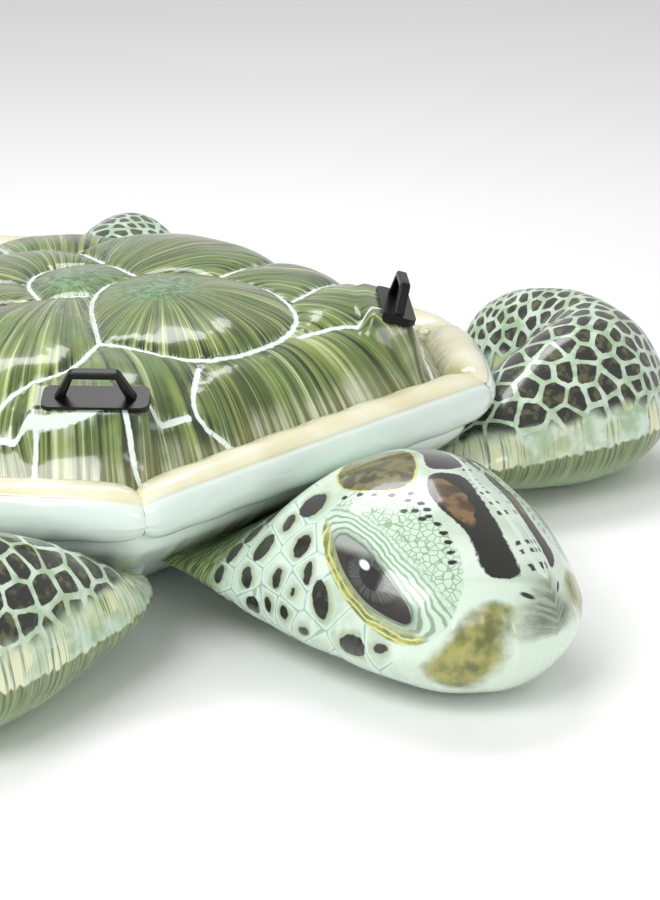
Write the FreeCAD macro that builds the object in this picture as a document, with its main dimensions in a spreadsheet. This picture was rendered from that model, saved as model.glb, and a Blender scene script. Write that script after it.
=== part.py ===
"""Ride-on pool float in the shape of a sea turtle: welded vinyl air chambers, two grab handles, two valves.

The float lies on its belly on the plane z = 0. The turtle faces -Y, its left side is +X, and +Z is up.
The origin is on the floor under the middle of the whole float. All sizes are in millimetres.
"""

import FreeCAD
import Part
import Sketcher
import math
import os

Vector = FreeCAD.Vector

# The driving dimensions: alias, value, what it is.
SIZES = [
    ("film_wall", 2.0, "wall of every welded film panel"),
    ("weld_gap", 0.5, "clearance between pieces that lie against each other"),
    ("frame_shift", -20.0, "moves the whole float along Y so that the origin is in the middle of its length"),
    ("front_half", 378.0, "half the length of the front side of the rim's centre line"),
    ("front_reach", 385.0, "the front side's distance ahead of the shell's reference line"),
    ("shoulder_half", 552.0, "half width at the front shoulders"),
    ("shoulder_reach", 165.0, "the front shoulders' distance ahead of the reference line"),
    ("hip_half", 560.0, "half width at the hips"),
    ("hip_reach", 500.0, "the hips' distance behind the reference line"),
    ("rear_half", 300.0, "half the length of the rear side"),
    ("rear_reach", 885.0, "the rear side's distance behind the reference line"),
    ("rim_radius", 46.0, "outer radius of the rim tube"),
    ("rim_height", 245.0, "height of the rim tube's centre line"),
    ("shell_top", 412.0, "height of the flat crown of the shell's top panel"),
    ("belly_inset", 270.0, "how far the flat belly lies inside the rim's centre line"),
    ("seam_height", 110.0, "height of the limbs' seams and of their root welds"),
    ("root_inset", 85.0, "how far the limbs' roots lie inside the rim's centre line"),
    ("root_play", 1.2, "gap between a root weld strip and the limb that bends on it"),
    ("strip_thickness", 2.0, "thickness of a root weld strip"),
    ("baffle_thickness", 2.0, "thickness of the inner baffles"),
    ("baffle_spread", 220.0, "distance of the two lengthwise baffle rows from the middle"),
    ("vent_radius", 40.0, "radius of the air passages in the baffles"),
    ("handle_across", 338.0, "distance of each grab handle from the middle"),
    ("handle_ahead", 225.0, "distance of the grab handles ahead of the reference line"),
    ("handle_height", 388.0, "height of the top of a handle's base plate at its middle"),
    ("handle_toe", 42.0, "turn of the handles, front ends towards the middle, in degrees"),
    ("handle_tilt", 16.0, "outward tilt of the handles, in degrees"),
    ("plate_length", 166.0, "length of a handle's base plate"),
    ("plate_width", 58.0, "width of a handle's base plate"),
    ("plate_depth", 24.0, "depth of the base plate before the shell's surface trims it"),
    ("plate_corner", 14.0, "corner radius of the base plate"),
    ("edge_reach", 1.2, "how far from a face an edge may lie and still be picked for its rounding"),
    ("grip_foot", 64.0, "half the distance between the outer feet of the grip"),
    ("grip_flat", 38.0, "half the length of the grip's straight top"),
    ("grip_rise", 48.0, "height of the grip above the base plate"),
    ("grip_thickness", 12.0, "thickness of the grip bar, up and down"),
    ("grip_width", 18.0, "width of the grip bar"),
    ("grip_bend", 12.0, "outer radius of the grip's two upper bends"),
    ("grip_round", 4.0, "rounding along the grip bar's edges"),
    ("port_radius", 4.5, "radius of the valve's bore"),
    ("stem_radius", 7.0, "outer radius of the valve stem"),
    ("stem_travel", 10.0, "how far the stem pushes in"),
    ("stem_fit", 0.3, "clearance between stem and sleeve"),
    ("sleeve_wall", 2.2, "wall of the sleeve that guides the stem"),
    ("sleeve_length", 16.0, "depth of the sleeve below the flange's face"),
    ("flange_radius", 21.0, "radius of the valve's welded flange"),
    ("flange_thickness", 2.0, "thickness of the valve's flange"),
    ("lip_reach", 1.6, "how far the lip at the stem's mouth stands out from the stem"),
    ("lip_thickness", 1.5, "thickness of that lip"),
    ("cap_reach", 2.0, "how far the valve cap's disc stands out from the stem"),
    ("cap_thickness", 2.0, "thickness of the valve cap's disc"),
    ("cap_gap", 0.3, "clearance between the closed cap and the stem's mouth"),
    ("plug_length", 6.0, "length of the cap's tapered plug"),
    ("plug_fit", 0.2, "clearance between the plug's root and the bore"),
    ("plug_taper", 1.5, "how much narrower the plug's tip is than its root"),
    ("strap_reach", 5.0, "distance of the cap's strap hinge from the stem's wall"),
    ("strap_width", 5.0, "width of the cap's strap"),
    ("flap_margin", 0.5, "how far the check flap stays inside the stem's outer wall"),
    ("flap_thickness", 0.6, "thickness of the check flap"),
    ("strap_lug", 1.5, "how far the stem's lug reaches past the strap hinge"),
    ("valve_height", 312.0, "height of the body valve on the shell's rear wall"),
    ("valve_inset", 4.5, "how far the body valve's flange stands inside the shell's waist"),
    ("rim_valve_across", 120.0, "distance of the rim valve from the middle"),
    ("rim_valve_sink", 3.0, "how far the rim valve's flange lies inside the tube's outermost line"),
]

# The hull's profile as (inset from the rim's centre line, height), outermost first. The shell's profile is counted
# from its waist, the wall beside the rim tube, and CROWN_INSET is where its flat crown starts.
HULL_PROFILE = [(6.0, 182.0), (35.0, 152.0), (85.0, 118.0), (165.0, 55.0)]
SHELL_PROFILE = [(3.5, 286.0), (5.5, 342.0), (30.0, 368.0), (118.0, 392.0)]
CROWN_INSET = 230.0

# The limbs' cross-sections, each over a chord in the plane of the seam: (distance from the root and place along
# the root line for the chord's near end, the same two for its far end, rise above the seam, depth below it).
# Places along the root line are counted from its middle.
HEAD_SECTIONS = [
    (0, -266, 0, 266, 4, 4),
    (25, -267, 25, 264, 12, 10),
    (50, -268, 50, 261, 32, 26),
    (75, -269, 75, 258, 52, 46),
    (100, -271, 100, 254, 70, 62),
    (150, -275, 150, 247, 110, 86),
    (220, -281, 220, 236, 168, 102),
    (340, -286, 340, 208, 196, 110),
    (440, -280, 440, 170, 180, 110),
    (520, -256, 520, 124, 146, 106),
    (575, -216, 575, 80, 108, 92),
    (610, -164, 610, 36, 66, 66),
    (632, -110, 632, -8, 27, 30),
]
FRONT_FLIPPER_SECTIONS = [
    (0, -125, 0, 130, 4, 4),
    (25, -140, 25, 133, 12, 10),
    (50, -150, 50, 136, 30, 26),
    (75, -156, 75, 139, 50, 44),
    (100, -158, 100, 142, 68, 60),
    (150, -152, 140, 148, 104, 78),
    (289, -97, 185, 156, 160, 98),
    (367, -58, 211, 180, 182, 108),
    (459, 11, 228, 201, 192, 110),
    (507, 123, 221, 229, 194, 110),
    (481, 249, 200, 263, 190, 108),
    (413, 361, 172, 311, 174, 98),
    (330, 448, 152, 378, 134, 80),
    (247, 489, 167, 436, 52, 36),
]
REAR_FLIPPER_SECTIONS = [
    (0, -125, 0, 115, 4, 4),
    (25, -134, 25, 122, 12, 10),
    (50, -142, 50, 126, 30, 26),
    (75, -149, 75, 129, 50, 44),
    (100, -155, 100, 131, 68, 60),
    (170, -166, 170, 134, 116, 88),
    (260, -170, 260, 132, 158, 108),
    (350, -162, 350, 122, 166, 110),
    (430, -138, 430, 100, 140, 100),
    (480, -100, 480, 70, 98, 76),
    (508, -50, 508, 34, 42, 36),
]
# Where the four crosswise baffles stand, as distances behind the reference line, and their air passages.
BAFFLE_LINES = [-240.0, 80.0, 400.0, 660.0]
VENTS_ACROSS = [-110.0, 110.0]
VENT_HEIGHT = 200.0
OVERSIZE = 3000.0  # longer than anything it cuts
ARC_STEPS = 10  # spans of a limb section's arc


# ---------------------------------------------------------------- document and sizes

doc = FreeCAD.newDocument("turtle_float")
sheet = doc.addObject("Spreadsheet::Sheet", "Sizes")
for row, (alias, value, meaning) in enumerate(SIZES, start=1):
    sheet.set(f"A{row}", alias)
    sheet.set(f"B{row}", str(value))
    sheet.set(f"C{row}", meaning)
    sheet.setAlias(f"B{row}", alias)
doc.recompute()


def size(alias):
    """A driving dimension, read from the sheet."""
    return float(sheet.get(alias))


SHIFT = Vector(0, size("frame_shift"), 0)
SUB_PARTS = []


def keep(label, obj):
    """Registers obj as a sub-part under the name that its file gets."""
    obj.Label = label
    SUB_PARTS.append(obj)
    return obj


def feature(label, shape):
    """A sub-part whose shape is worked out here, placed in the float's frame."""
    obj = doc.addObject("Part::Feature", label)
    obj.Shape = shape
    obj.Placement = FreeCAD.Placement(SHIFT, FreeCAD.Rotation())
    return keep(label, obj)


# ---------------------------------------------------------------- the rim's outline and what follows it


def rim_corners():
    """The eight corners of the rim's centre line, counter-clockwise from the front left one."""
    left = [
        (size("front_half"), -size("front_reach")),
        (size("shoulder_half"), -size("shoulder_reach")),
        (size("hip_half"), size("hip_reach")),
        (size("rear_half"), size("rear_reach")),
    ]
    return [Vector(x, y, 0) for x, y in left] + [Vector(-x, y, 0) for x, y in reversed(left)]


def side_directions(corners):
    """Unit vectors along each side of the outline, and out of it."""
    along, out = [], []
    for i, corner in enumerate(corners):
        d = corners[(i + 1) % len(corners)] - corner
        d.normalize()
        along.append(d)
        out.append(Vector(d.y, -d.x, 0))
    return along, out


def inset_outline(inset, z):
    """The outline moved inward by inset, at height z."""
    corners = rim_corners()
    along, out = side_directions(corners)
    moved = []
    for i, corner in enumerate(corners):
        bisector = out[i - 1] + out[i]
        bisector.normalize()
        reach = inset / bisector.dot(out[i])
        point = corner - bisector * reach
        moved.append(Vector(point.x, point.y, z))
    return moved


def stacked_solid(levels):
    """A closed solid through outlines given as (inset, height), lowest first."""
    rings = [inset_outline(inset, z) for inset, z in levels]
    faces = [Part.Face(Part.makePolygon(rings[0] + rings[0][:1]))]
    faces.append(Part.Face(Part.makePolygon(rings[-1] + rings[-1][:1])))
    for low, high in zip(rings, rings[1:]):
        for i in range(len(low)):
            j = (i + 1) % len(low)
            faces.append(Part.Face(Part.makePolygon([low[i], low[j], high[j], high[i], low[i]])))
    solid = Part.makeSolid(Part.makeShell(faces))
    if solid.Volume < 0:
        solid.reverse()
    return solid


def shoulder_height():
    """Height of the hull's shoulder, just under the rim tube."""
    return size("rim_height") - size("rim_radius") - size("weld_gap")


def waist_inset():
    """How far the shell's waist stands inside the rim's centre line."""
    return size("rim_radius") + size("weld_gap")


def hull_levels(wall):
    """The hull's levels, from the belly up, taken in by wall."""
    levels = [(size("belly_inset") + wall, wall)]
    levels += [(inset + wall, z + wall) for inset, z in reversed(HULL_PROFILE)]
    levels.append((wall, shoulder_height() - wall))
    return levels


def shell_levels(wall, foot):
    """The shell's levels, from its foot up, taken in by wall."""
    waist = waist_inset() + wall
    levels = [(waist, foot)]
    levels += [(waist + inward, z - wall) for inward, z in SHELL_PROFILE]
    levels.append((waist + CROWN_INSET, size("shell_top") - wall))
    return levels


def hull_panel():
    """The bottom panel: belly, curved side wall and the shoulder under the rim, open inside the waist."""
    wall = size("film_wall")
    top = shoulder_height()
    opening_inset = waist_inset() + wall
    opening = stacked_solid([(opening_inset, top - 2 * wall), (opening_inset, top + wall)])
    return stacked_solid(hull_levels(0)).cut(stacked_solid(hull_levels(wall))).cut(opening)


def shell_solid():
    """The outside of the shell's top panel as a filled solid."""
    return stacked_solid(shell_levels(0, shoulder_height()))


def top_panel():
    """The shell's top panel: waist wall and dome, open below."""
    wall = size("film_wall")
    return shell_solid().cut(stacked_solid(shell_levels(wall, shoulder_height() - wall)))


def chamber():
    """The air space of the body chamber, clear of the panels by the weld gap."""
    clear = size("film_wall") + size("weld_gap")
    levels = shell_levels(clear, shoulder_height() - 2 * clear)
    return stacked_solid(hull_levels(clear)).fuse(stacked_solid(levels)).removeSplitter()


def mitre_ring(corner, before, after, radius):
    """The ellipse in which a round tube of that radius meets its neighbour at a corner."""
    bisector = before + after
    bisector.normalize()
    outward = Vector(bisector.y, -bisector.x, 0)
    stretch = radius / bisector.dot(after)
    centre = corner + Vector(0, 0, size("rim_height"))
    far = centre + outward * stretch
    top = centre + Vector(0, 0, radius)
    return Part.Wire([Part.Ellipse(far, top, centre).toShape()])


def rim_segment(i):
    """The i-th film tube of the rim, mitred at both ends and open to its neighbours."""
    corners = rim_corners()
    along, out = side_directions(corners)
    j = (i + 1) % len(corners)
    rings = []
    for radius in (size("rim_radius"), size("rim_radius") - size("film_wall")):
        start = mitre_ring(corners[i], along[i - 1], along[i], radius)
        end = mitre_ring(corners[j], along[i], along[j], radius)
        rings.append(Part.makeLoft([start, end], True, True))
    return rings[0].cut(rings[1])


# ---------------------------------------------------------------- baffles


def vents(centres, normal):
    """Cylinders that cut the baffles' air passages."""
    reach = normal * (size("baffle_thickness") * 5)
    return [
        Part.makeCylinder(size("vent_radius"), 2 * reach.Length, c - reach, normal)
        for c in centres
    ]


def cross_baffle(y):
    """A crosswise baffle that fills the chamber's section at y, with two air passages."""
    t = size("baffle_thickness")
    corner = Vector(-OVERSIZE / 2, y - t / 2, 0)
    sheet_of_film = Part.makeBox(OVERSIZE, t, OVERSIZE, corner)
    centres = [Vector(x, y, VENT_HEIGHT) for x in VENTS_ACROSS]
    return chamber().common(sheet_of_film).cut(vents(centres, Vector(0, 1, 0)))


def lengthwise_baffles(side):
    """The lengthwise baffles between the crosswise ones, on the side where x has that sign."""
    t = size("baffle_thickness")
    space = chamber()
    x = side * size("baffle_spread")
    solids = []
    for y0, y1 in zip(BAFFLE_LINES, BAFFLE_LINES[1:]):
        low = y0 + t / 2 + size("weld_gap")
        high = y1 - t / 2 - size("weld_gap")
        sheet_of_film = Part.makeBox(t, high - low, OVERSIZE, Vector(x - t / 2, low, 0))
        centre = Vector(x, (low + high) / 2, VENT_HEIGHT)
        solids.append(space.common(sheet_of_film).cut(vents([centre], Vector(1, 0, 0))))
    return Part.makeCompound([s for shape in solids for s in shape.Solids])


# ---------------------------------------------------------------- limbs


def limb_frame(start, end):
    """Middle of a limb's root, the direction away from the body, and the direction along the root."""
    along = end - start
    along.normalize()
    away = Vector(along.y, -along.x, 0)
    middle = (start + end) * 0.5 - away * size("root_inset") + Vector(0, 0, size("seam_height"))
    return middle, away, along


def half_section(frame, near_end, far_end, rise, sign, sink):
    """A half ellipse over (sign 1) or under (sign -1) a chord in the seam plane, sunk past it by sink."""
    middle, away, along = frame
    base = middle - Vector(0, 0, sign * sink)
    near = base + away * near_end[0] + along * near_end[1]
    far = base + away * far_end[0] + along * far_end[1]
    centre, half = (near + far) * 0.5, (far - near) * 0.5
    steps = [math.pi * k / ARC_STEPS for k in range(ARC_STEPS + 1)]
    points = [centre + half * math.cos(t) + Vector(0, 0, sign * rise * math.sin(t)) for t in steps]
    curve = Part.BSplineCurve()
    curve.interpolate(points)
    arc = curve.toShape()
    chord = Part.makeLine(points[-1], points[0])
    return Part.Wire([arc, chord])


def limb_panel(frame, sections, sign):
    """A limb's top panel (sign 1) or bottom panel (sign -1): a film bowl that is open at the seam."""
    wall = size("film_wall")
    column = 4 if sign > 0 else 5
    outer = [half_section(frame, c[0:2], c[2:4], c[column], sign, 0) for c in sections]
    inner = []
    for c in sections[1:-1]:
        chord = Vector(c[2] - c[0], c[3] - c[1], 0)
        chord.normalize()
        near = (c[0] + 2 * wall * chord.x, c[1] + 2 * wall * chord.y)
        far = (c[2] - 2 * wall * chord.x, c[3] - 2 * wall * chord.y)
        inner.append(half_section(frame, near, far, c[column] - wall, sign, wall / 2))
    solid = Part.makeLoft(outer, True, True)
    hollow = Part.makeLoft(inner, True, True)
    return solid.cut(hollow)


def root_strip(frame, sections):
    """The film strip that joins a limb's root to the hull, trimmed by the hull's outer surface."""
    middle, away, along = frame
    t = size("strip_thickness")
    q0, q1 = sections[0][1], sections[0][3]
    near = middle - away * size("root_play") - Vector(0, 0, t / 2)
    profile = [
        near + along * q0,
        near + along * q1,
        near + along * q1 - away * size("root_inset"),
        near + along * q0 - away * size("root_inset"),
    ]
    strip = Part.Face(Part.makePolygon(profile + profile[:1])).extrude(Vector(0, 0, t))
    return strip.cut(stacked_solid(hull_levels(0)))


def mirrored(shape):
    """The same shape on the other side of the turtle."""
    return shape.mirror(Vector(0, 0, 0), Vector(1, 0, 0))


def limbs():
    """Name, root frame, sections and whether the limb is a mirror image, for each limb."""
    c = rim_corners()
    front = limb_frame(c[0], c[1])
    rear = limb_frame(c[2], c[3])
    return [
        ("head", limb_frame(c[7], c[0]), HEAD_SECTIONS, False),
        ("front_flipper_left", front, FRONT_FLIPPER_SECTIONS, False),
        ("front_flipper_right", front, FRONT_FLIPPER_SECTIONS, True),
        ("rear_flipper_left", rear, REAR_FLIPPER_SECTIONS, False),
        ("rear_flipper_right", rear, REAR_FLIPPER_SECTIONS, True),
    ]


def make_limbs():
    """Top panel, bottom panel and root weld strip of each limb."""
    for name, frame, sections, mirror in limbs():
        pieces = [
            (f"{name}_top_panel", limb_panel(frame, sections, 1)),
            (f"{name}_bottom_panel", limb_panel(frame, sections, -1)),
            (f"{name}_root_weld", root_strip(frame, sections)),
        ]
        for label, shape in pieces:
            feature(label, mirrored(shape) if mirror else shape)


# ---------------------------------------------------------------- sketch helpers


def origin_plane(body, role):
    """One of a body's own origin planes or axes."""
    return next(f for f in body.Origin.OriginFeatures if f.Role == role)


def sketch_on(body, name, role):
    """An empty sketch on one of the body's origin planes."""
    sketch = body.newObject("Sketcher::SketchObject", name)
    sketch.AttachmentSupport = [(origin_plane(body, role), "")]
    sketch.MapMode = "FlatFace"
    return sketch


def bind_point(sketch, geometry, position, expressions):
    """Ties one sketch point's two coordinates to expressions of the sheet's cells."""
    for kind, expression in zip(("DistanceX", "DistanceY"), expressions):
        value = float(sketch.evalExpression(expression))
        index = sketch.addConstraint(Sketcher.Constraint(kind, -1, 1, geometry, position, value))
        sketch.setExpression(f"Constraints[{index}]", expression)


def add_outline(sketch, points):
    """A closed outline of straight lines. Each point is a pair of expressions."""
    spots = [
        Vector(float(sketch.evalExpression(x)), float(sketch.evalExpression(y)), 0)
        for x, y in points
    ]
    n = len(spots)
    first = sketch.GeometryCount
    for i in range(n):
        sketch.addGeometry(Part.LineSegment(spots[i], spots[(i + 1) % n]), False)
    for i in range(n):
        following = first + (i + 1) % n
        sketch.addConstraint(Sketcher.Constraint("Coincident", first + i, 2, following, 1))
    for i in range(n):
        bind_point(sketch, first + i, 1, points[i])


def revolved_body(label, points):
    """A body turned about Z from an outline in the XZ plane. Each point is (radius, height) as expressions."""
    body = doc.addObject("PartDesign::Body", label)
    sketch = sketch_on(body, f"{label}_profile", "XZ_Plane")
    add_outline(sketch, points)
    doc.recompute()
    turned = body.newObject("PartDesign::Revolution", f"{label}_turned")
    turned.Profile = sketch
    turned.ReferenceAxis = (sketch, ["V_Axis"])
    turned.Angle = 360.0
    doc.recompute()
    body.Tip = turned
    return body


# ---------------------------------------------------------------- grab handles


def handle_placement(side):
    """Where a handle's own frame lies: X along the grip, Z out of the base plate."""
    toe, tilt = size("handle_toe"), size("handle_tilt")
    turn = FreeCAD.Rotation(Vector(0, 0, 1), 90 - side * toe)
    lean = FreeCAD.Rotation(Vector(1, 0, 0), side * tilt)
    spot = Vector(side * size("handle_across"), -size("handle_ahead"), size("handle_height"))
    return FreeCAD.Placement(spot + SHIFT, turn.multiply(lean))


def handle_body(label):
    """Base plate and grip of one handle in its own frame, before the shell trims the plate's underside."""
    body = doc.addObject("PartDesign::Body", label)
    plate = sketch_on(body, f"{label}_plate", "XY_Plane")
    half_l, half_w = "Sizes.plate_length / 2", "Sizes.plate_width / 2"
    corners = [(-1, -1), (1, -1), (1, 1), (-1, 1)]
    add_outline(plate, [(f"{a} * {half_l}", f"{b} * {half_w}") for a, b in corners])
    doc.recompute()
    pad = body.newObject("PartDesign::Pad", f"{label}_plate_pad")
    pad.Profile = plate
    pad.setExpression("Length", "Sizes.plate_depth")
    pad.Reversed = True
    doc.recompute()

    foot, flat = "Sizes.grip_foot", "Sizes.grip_flat"
    rise, thick = "Sizes.grip_rise", "Sizes.grip_thickness"
    inner_flat = f"({flat} - {thick} * 0.45)"
    outline = [
        (f"-1 * {foot}", "-1"),
        (f"-1 * {flat}", rise),
        (flat, rise),
        (foot, "-1"),
        (f"{foot} - {thick} * 1.35", "-1"),
        (inner_flat, f"{rise} - {thick}"),
        (f"-1 * {inner_flat}", f"{rise} - {thick}"),
        (f"-1 * ({foot} - {thick} * 1.35)", "-1"),
    ]
    grip = sketch_on(body, f"{label}_grip", "XZ_Plane")
    add_outline(grip, outline)
    doc.recompute()
    bar = body.newObject("PartDesign::Pad", f"{label}_grip_pad")
    bar.Profile = grip
    bar.setExpression("Length", "Sizes.grip_width")
    bar.Midplane = True
    doc.recompute()

    upright = [
        f"Edge{i}"
        for i, edge in enumerate(bar.Shape.Edges, start=1)
        if edge.BoundBox.ZMax < size("edge_reach") and edge.BoundBox.ZLength > size("plate_depth") / 2
    ]
    rounded = body.newObject("PartDesign::Fillet", f"{label}_plate_corners")
    rounded.Base = (bar, upright)
    rounded.setExpression("Radius", "Sizes.plate_corner")
    doc.recompute()

    bends = [
        f"Edge{i}"
        for i, edge in enumerate(rounded.Shape.Edges, start=1)
        if edge.BoundBox.ZMin > size("grip_rise") - size("edge_reach") and edge.BoundBox.XLength < 1
    ]
    bent = body.newObject("PartDesign::Fillet", f"{label}_grip_bends")
    bent.Base = (rounded, bends)
    bent.setExpression("Radius", "Sizes.grip_bend")
    doc.recompute()

    long_edges = [
        f"Edge{i}"
        for i, edge in enumerate(bent.Shape.Edges, start=1)
        if edge.BoundBox.YLength < 0.01
        and edge.BoundBox.ZMax > size("grip_thickness")
        and edge.BoundBox.DiagonalLength > 1
    ]
    soft = body.newObject("PartDesign::Fillet", f"{label}_grip_edges")
    soft.Base = (bent, long_edges)
    soft.setExpression("Radius", "Sizes.grip_round")
    doc.recompute()
    body.Tip = soft
    return body


def make_handles():
    """Both handles. The shell's surface trims each base plate, so that it fits the dome."""
    shell = shell_solid()
    for name, side in (("left", 1), ("right", -1)):
        body = handle_body(f"handle_{name}_moulding")
        placement = handle_placement(side)
        shape = body.Shape.copy()
        shape.Placement = placement
        surface = shell.copy()
        surface.translate(SHIFT)
        trimmed = shape.cut(surface)
        trimmed.translate(SHIFT * -1)
        feature(f"grab_handle_{name}", trimmed.Solids[0])


# ---------------------------------------------------------------- valves


def valve_pieces(prefix):
    """Flange with sleeve, stem, capped strap and check flap of one valve, in the valve's own frame."""
    sleeve_bore = "(Sizes.stem_radius + Sizes.stem_fit)"
    sleeve_outside = f"({sleeve_bore} + Sizes.sleeve_wall)"
    flange = revolved_body(
        f"{prefix}_valve_base",
        [
            (sleeve_bore, "-1 * Sizes.sleeve_length"),
            (sleeve_outside, "-1 * Sizes.sleeve_length"),
            (sleeve_outside, "-1 * Sizes.flange_thickness"),
            ("Sizes.flange_radius", "-1 * Sizes.flange_thickness"),
            ("Sizes.flange_radius", "0"),
            (sleeve_bore, "0"),
        ],
    )
    proud = "(Sizes.stem_travel + Sizes.lip_thickness + Sizes.stem_fit)"
    stop = "(-1 * (Sizes.sleeve_length + Sizes.stem_fit))"
    foot = f"({stop} - Sizes.lip_thickness)"
    lip = "(Sizes.stem_radius + Sizes.lip_reach)"
    stem = revolved_body(
        f"{prefix}_valve_stem",
        [
            ("Sizes.port_radius", foot),
            (lip, foot),
            (lip, stop),
            ("Sizes.stem_radius", stop),
            ("Sizes.stem_radius", f"{proud} - Sizes.lip_thickness"),
            (lip, f"{proud} - Sizes.lip_thickness"),
            (lip, proud),
            ("Sizes.port_radius", proud),
        ],
    )
    under = f"({proud} + Sizes.cap_gap)"
    plug = "(Sizes.port_radius - Sizes.plug_fit)"
    disc = "(Sizes.stem_radius + Sizes.cap_reach)"
    cap = revolved_body(
        f"{prefix}_valve_cap",
        [
            ("0", f"{under} - Sizes.plug_length"),
            (f"{plug} - Sizes.plug_taper", f"{under} - Sizes.plug_length"),
            (plug, under),
            (disc, under),
            (disc, f"{under} + Sizes.cap_thickness"),
            ("0", f"{under} + Sizes.cap_thickness"),
        ],
    )
    hinge = "(Sizes.stem_radius + Sizes.strap_reach)"
    add_tongue(stem, f"{prefix}_lug", "Sizes.stem_radius", f"{hinge} + Sizes.strap_lug",
               f"{proud} - Sizes.lip_thickness", "Sizes.lip_thickness")
    add_tongue(cap, f"{prefix}_strap", "0", hinge, under, "Sizes.cap_thickness / 2")
    top = f"({foot} - Sizes.cap_gap)"
    leaf = "(Sizes.stem_radius - Sizes.flap_margin)"
    flap = revolved_body(
        f"{prefix}_valve_flap",
        [
            ("0", f"{top} - Sizes.flap_thickness"),
            (leaf, f"{top} - Sizes.flap_thickness"),
            (leaf, top),
            ("0", top),
        ],
    )
    return [flange, stem, cap, flap]


def add_tongue(body, name, start, end, base, thickness):
    """Adds a flat tongue as wide as the strap, from start to end along X, standing on the height base."""
    half = "Sizes.strap_width / 2"
    sketch = sketch_on(body, name, "XY_Plane")
    add_outline(sketch, [(start, f"-1 * {half}"), (end, f"-1 * {half}"), (end, half), (start, half)])
    sketch.setExpression("AttachmentOffset.Base.z", base)
    doc.recompute()
    tongue = body.newObject("PartDesign::Pad", f"{name}_pad")
    tongue.Profile = sketch
    tongue.setExpression("Length", thickness)
    doc.recompute()
    body.Tip = tongue


def valve_seat(placement):
    """The cylinder that makes room for a valve's flange in the film around it."""
    radius = size("flange_radius") + size("weld_gap")
    depth = size("flange_radius")
    seat = Part.makeCylinder(radius, 2 * depth, Vector(0, 0, -depth))
    seat.Placement = placement
    return seat


def backward_placement(x, y, z):
    """A valve's frame at that point: its axis looks backwards, with the strap on the upper side."""
    turn = FreeCAD.Rotation(Vector(1, 0, 0), -90)
    turn = turn.multiply(FreeCAD.Rotation(Vector(0, 0, 1), -90))
    return FreeCAD.Placement(Vector(x, y, z), turn)


def body_valve_placement():
    """On the shell's rear wall, over the rim."""
    reach = size("rear_reach") - waist_inset() - size("valve_inset")
    return backward_placement(0, reach, size("valve_height"))


def rim_valve_placement():
    """On the rear rim tube, with its flange just inside the tube's outermost line."""
    reach = size("rear_reach") + size("rim_radius") - size("rim_valve_sink")
    return backward_placement(size("rim_valve_across"), reach, size("rim_height"))


def make_valves():
    """The valve of the body chamber and the valve of the rim chamber."""
    for prefix, placement in (("body", body_valve_placement()), ("rim", rim_valve_placement())):
        moved = FreeCAD.Placement(placement.Base + SHIFT, placement.Rotation)
        for body in valve_pieces(prefix):
            body.Placement = moved
            keep(body.Label, body)


# ---------------------------------------------------------------- the whole float

RIM_NAMES = [
    "rim_front_left",
    "rim_side_left",
    "rim_rear_left",
    "rim_rear",
    "rim_rear_right",
    "rim_side_right",
    "rim_front_right",
    "rim_front",
]


def make_body_chamber():
    """Panels, baffles and rim tubes."""
    feature("hull_bottom_panel", hull_panel())
    feature("shell_top_panel", top_panel().cut(valve_seat(body_valve_placement())))
    for label, y in zip(("baffle_front", "baffle_middle", "baffle_back", "baffle_rear"), BAFFLE_LINES):
        feature(label, cross_baffle(y))
    feature("side_baffles_left", lengthwise_baffles(1))
    feature("side_baffles_right", lengthwise_baffles(-1))
    for i, label in enumerate(RIM_NAMES):
        tube = rim_segment(i)
        if label == "rim_rear":
            tube = tube.cut(valve_seat(rim_valve_placement()))
        feature(label, tube)


def check_and_write():
    """Stops on any failed object or bad solid, then writes one STEP file per sub-part."""
    doc.recompute()
    for obj in doc.Objects:
        if "Invalid" in obj.State or "Error" in obj.State:
            raise RuntimeError(f"{obj.Label} failed: {obj.State}")
    os.makedirs("parts", exist_ok=True)
    for obj in SUB_PARTS:
        shape = obj.Shape
        if shape.isNull() or not shape.isValid() or not shape.Solids:
            raise RuntimeError(f"{obj.Label} has no valid solid")
        shape.exportStep(f"parts/{obj.Label}.step")
    whole = FreeCAD.BoundBox()
    for obj in SUB_PARTS:
        whole.add(obj.Shape.BoundBox)
    print(f"{len(SUB_PARTS)} sub-parts, box {whole}")


make_body_chamber()
make_limbs()
make_handles()
make_valves()
check_and_write()
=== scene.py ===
import math

import bpy
import numpy as np
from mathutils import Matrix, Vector


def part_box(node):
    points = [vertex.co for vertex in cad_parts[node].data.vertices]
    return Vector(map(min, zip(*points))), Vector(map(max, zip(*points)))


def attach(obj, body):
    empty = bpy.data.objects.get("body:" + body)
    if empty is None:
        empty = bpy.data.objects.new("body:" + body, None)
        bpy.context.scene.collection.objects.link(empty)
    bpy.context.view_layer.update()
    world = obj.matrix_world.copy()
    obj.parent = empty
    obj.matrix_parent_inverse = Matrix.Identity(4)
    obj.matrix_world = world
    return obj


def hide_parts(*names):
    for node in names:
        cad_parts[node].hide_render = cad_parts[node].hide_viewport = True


# Sea turtle ride-on float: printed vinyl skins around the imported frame, in metres.
# The turtle faces -Y and its left is +X.
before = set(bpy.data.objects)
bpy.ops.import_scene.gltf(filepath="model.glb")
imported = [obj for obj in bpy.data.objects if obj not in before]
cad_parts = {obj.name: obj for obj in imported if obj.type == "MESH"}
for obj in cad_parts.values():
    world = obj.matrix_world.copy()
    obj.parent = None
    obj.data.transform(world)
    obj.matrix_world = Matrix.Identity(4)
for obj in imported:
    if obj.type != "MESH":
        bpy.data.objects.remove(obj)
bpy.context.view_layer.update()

# ---------------------------------------------------------------- the float's lines, as in the frame

SHIFT = -0.020
CORNERS = [(0.378, -0.385), (0.552, -0.165), (0.560, 0.500), (0.300, 0.885)]
RIM_RADIUS = 0.046
RIM_HEIGHT = 0.245
SEAM_HEIGHT = 0.110
ROOT_INSET = 0.085
FLOAT = "float"


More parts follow.
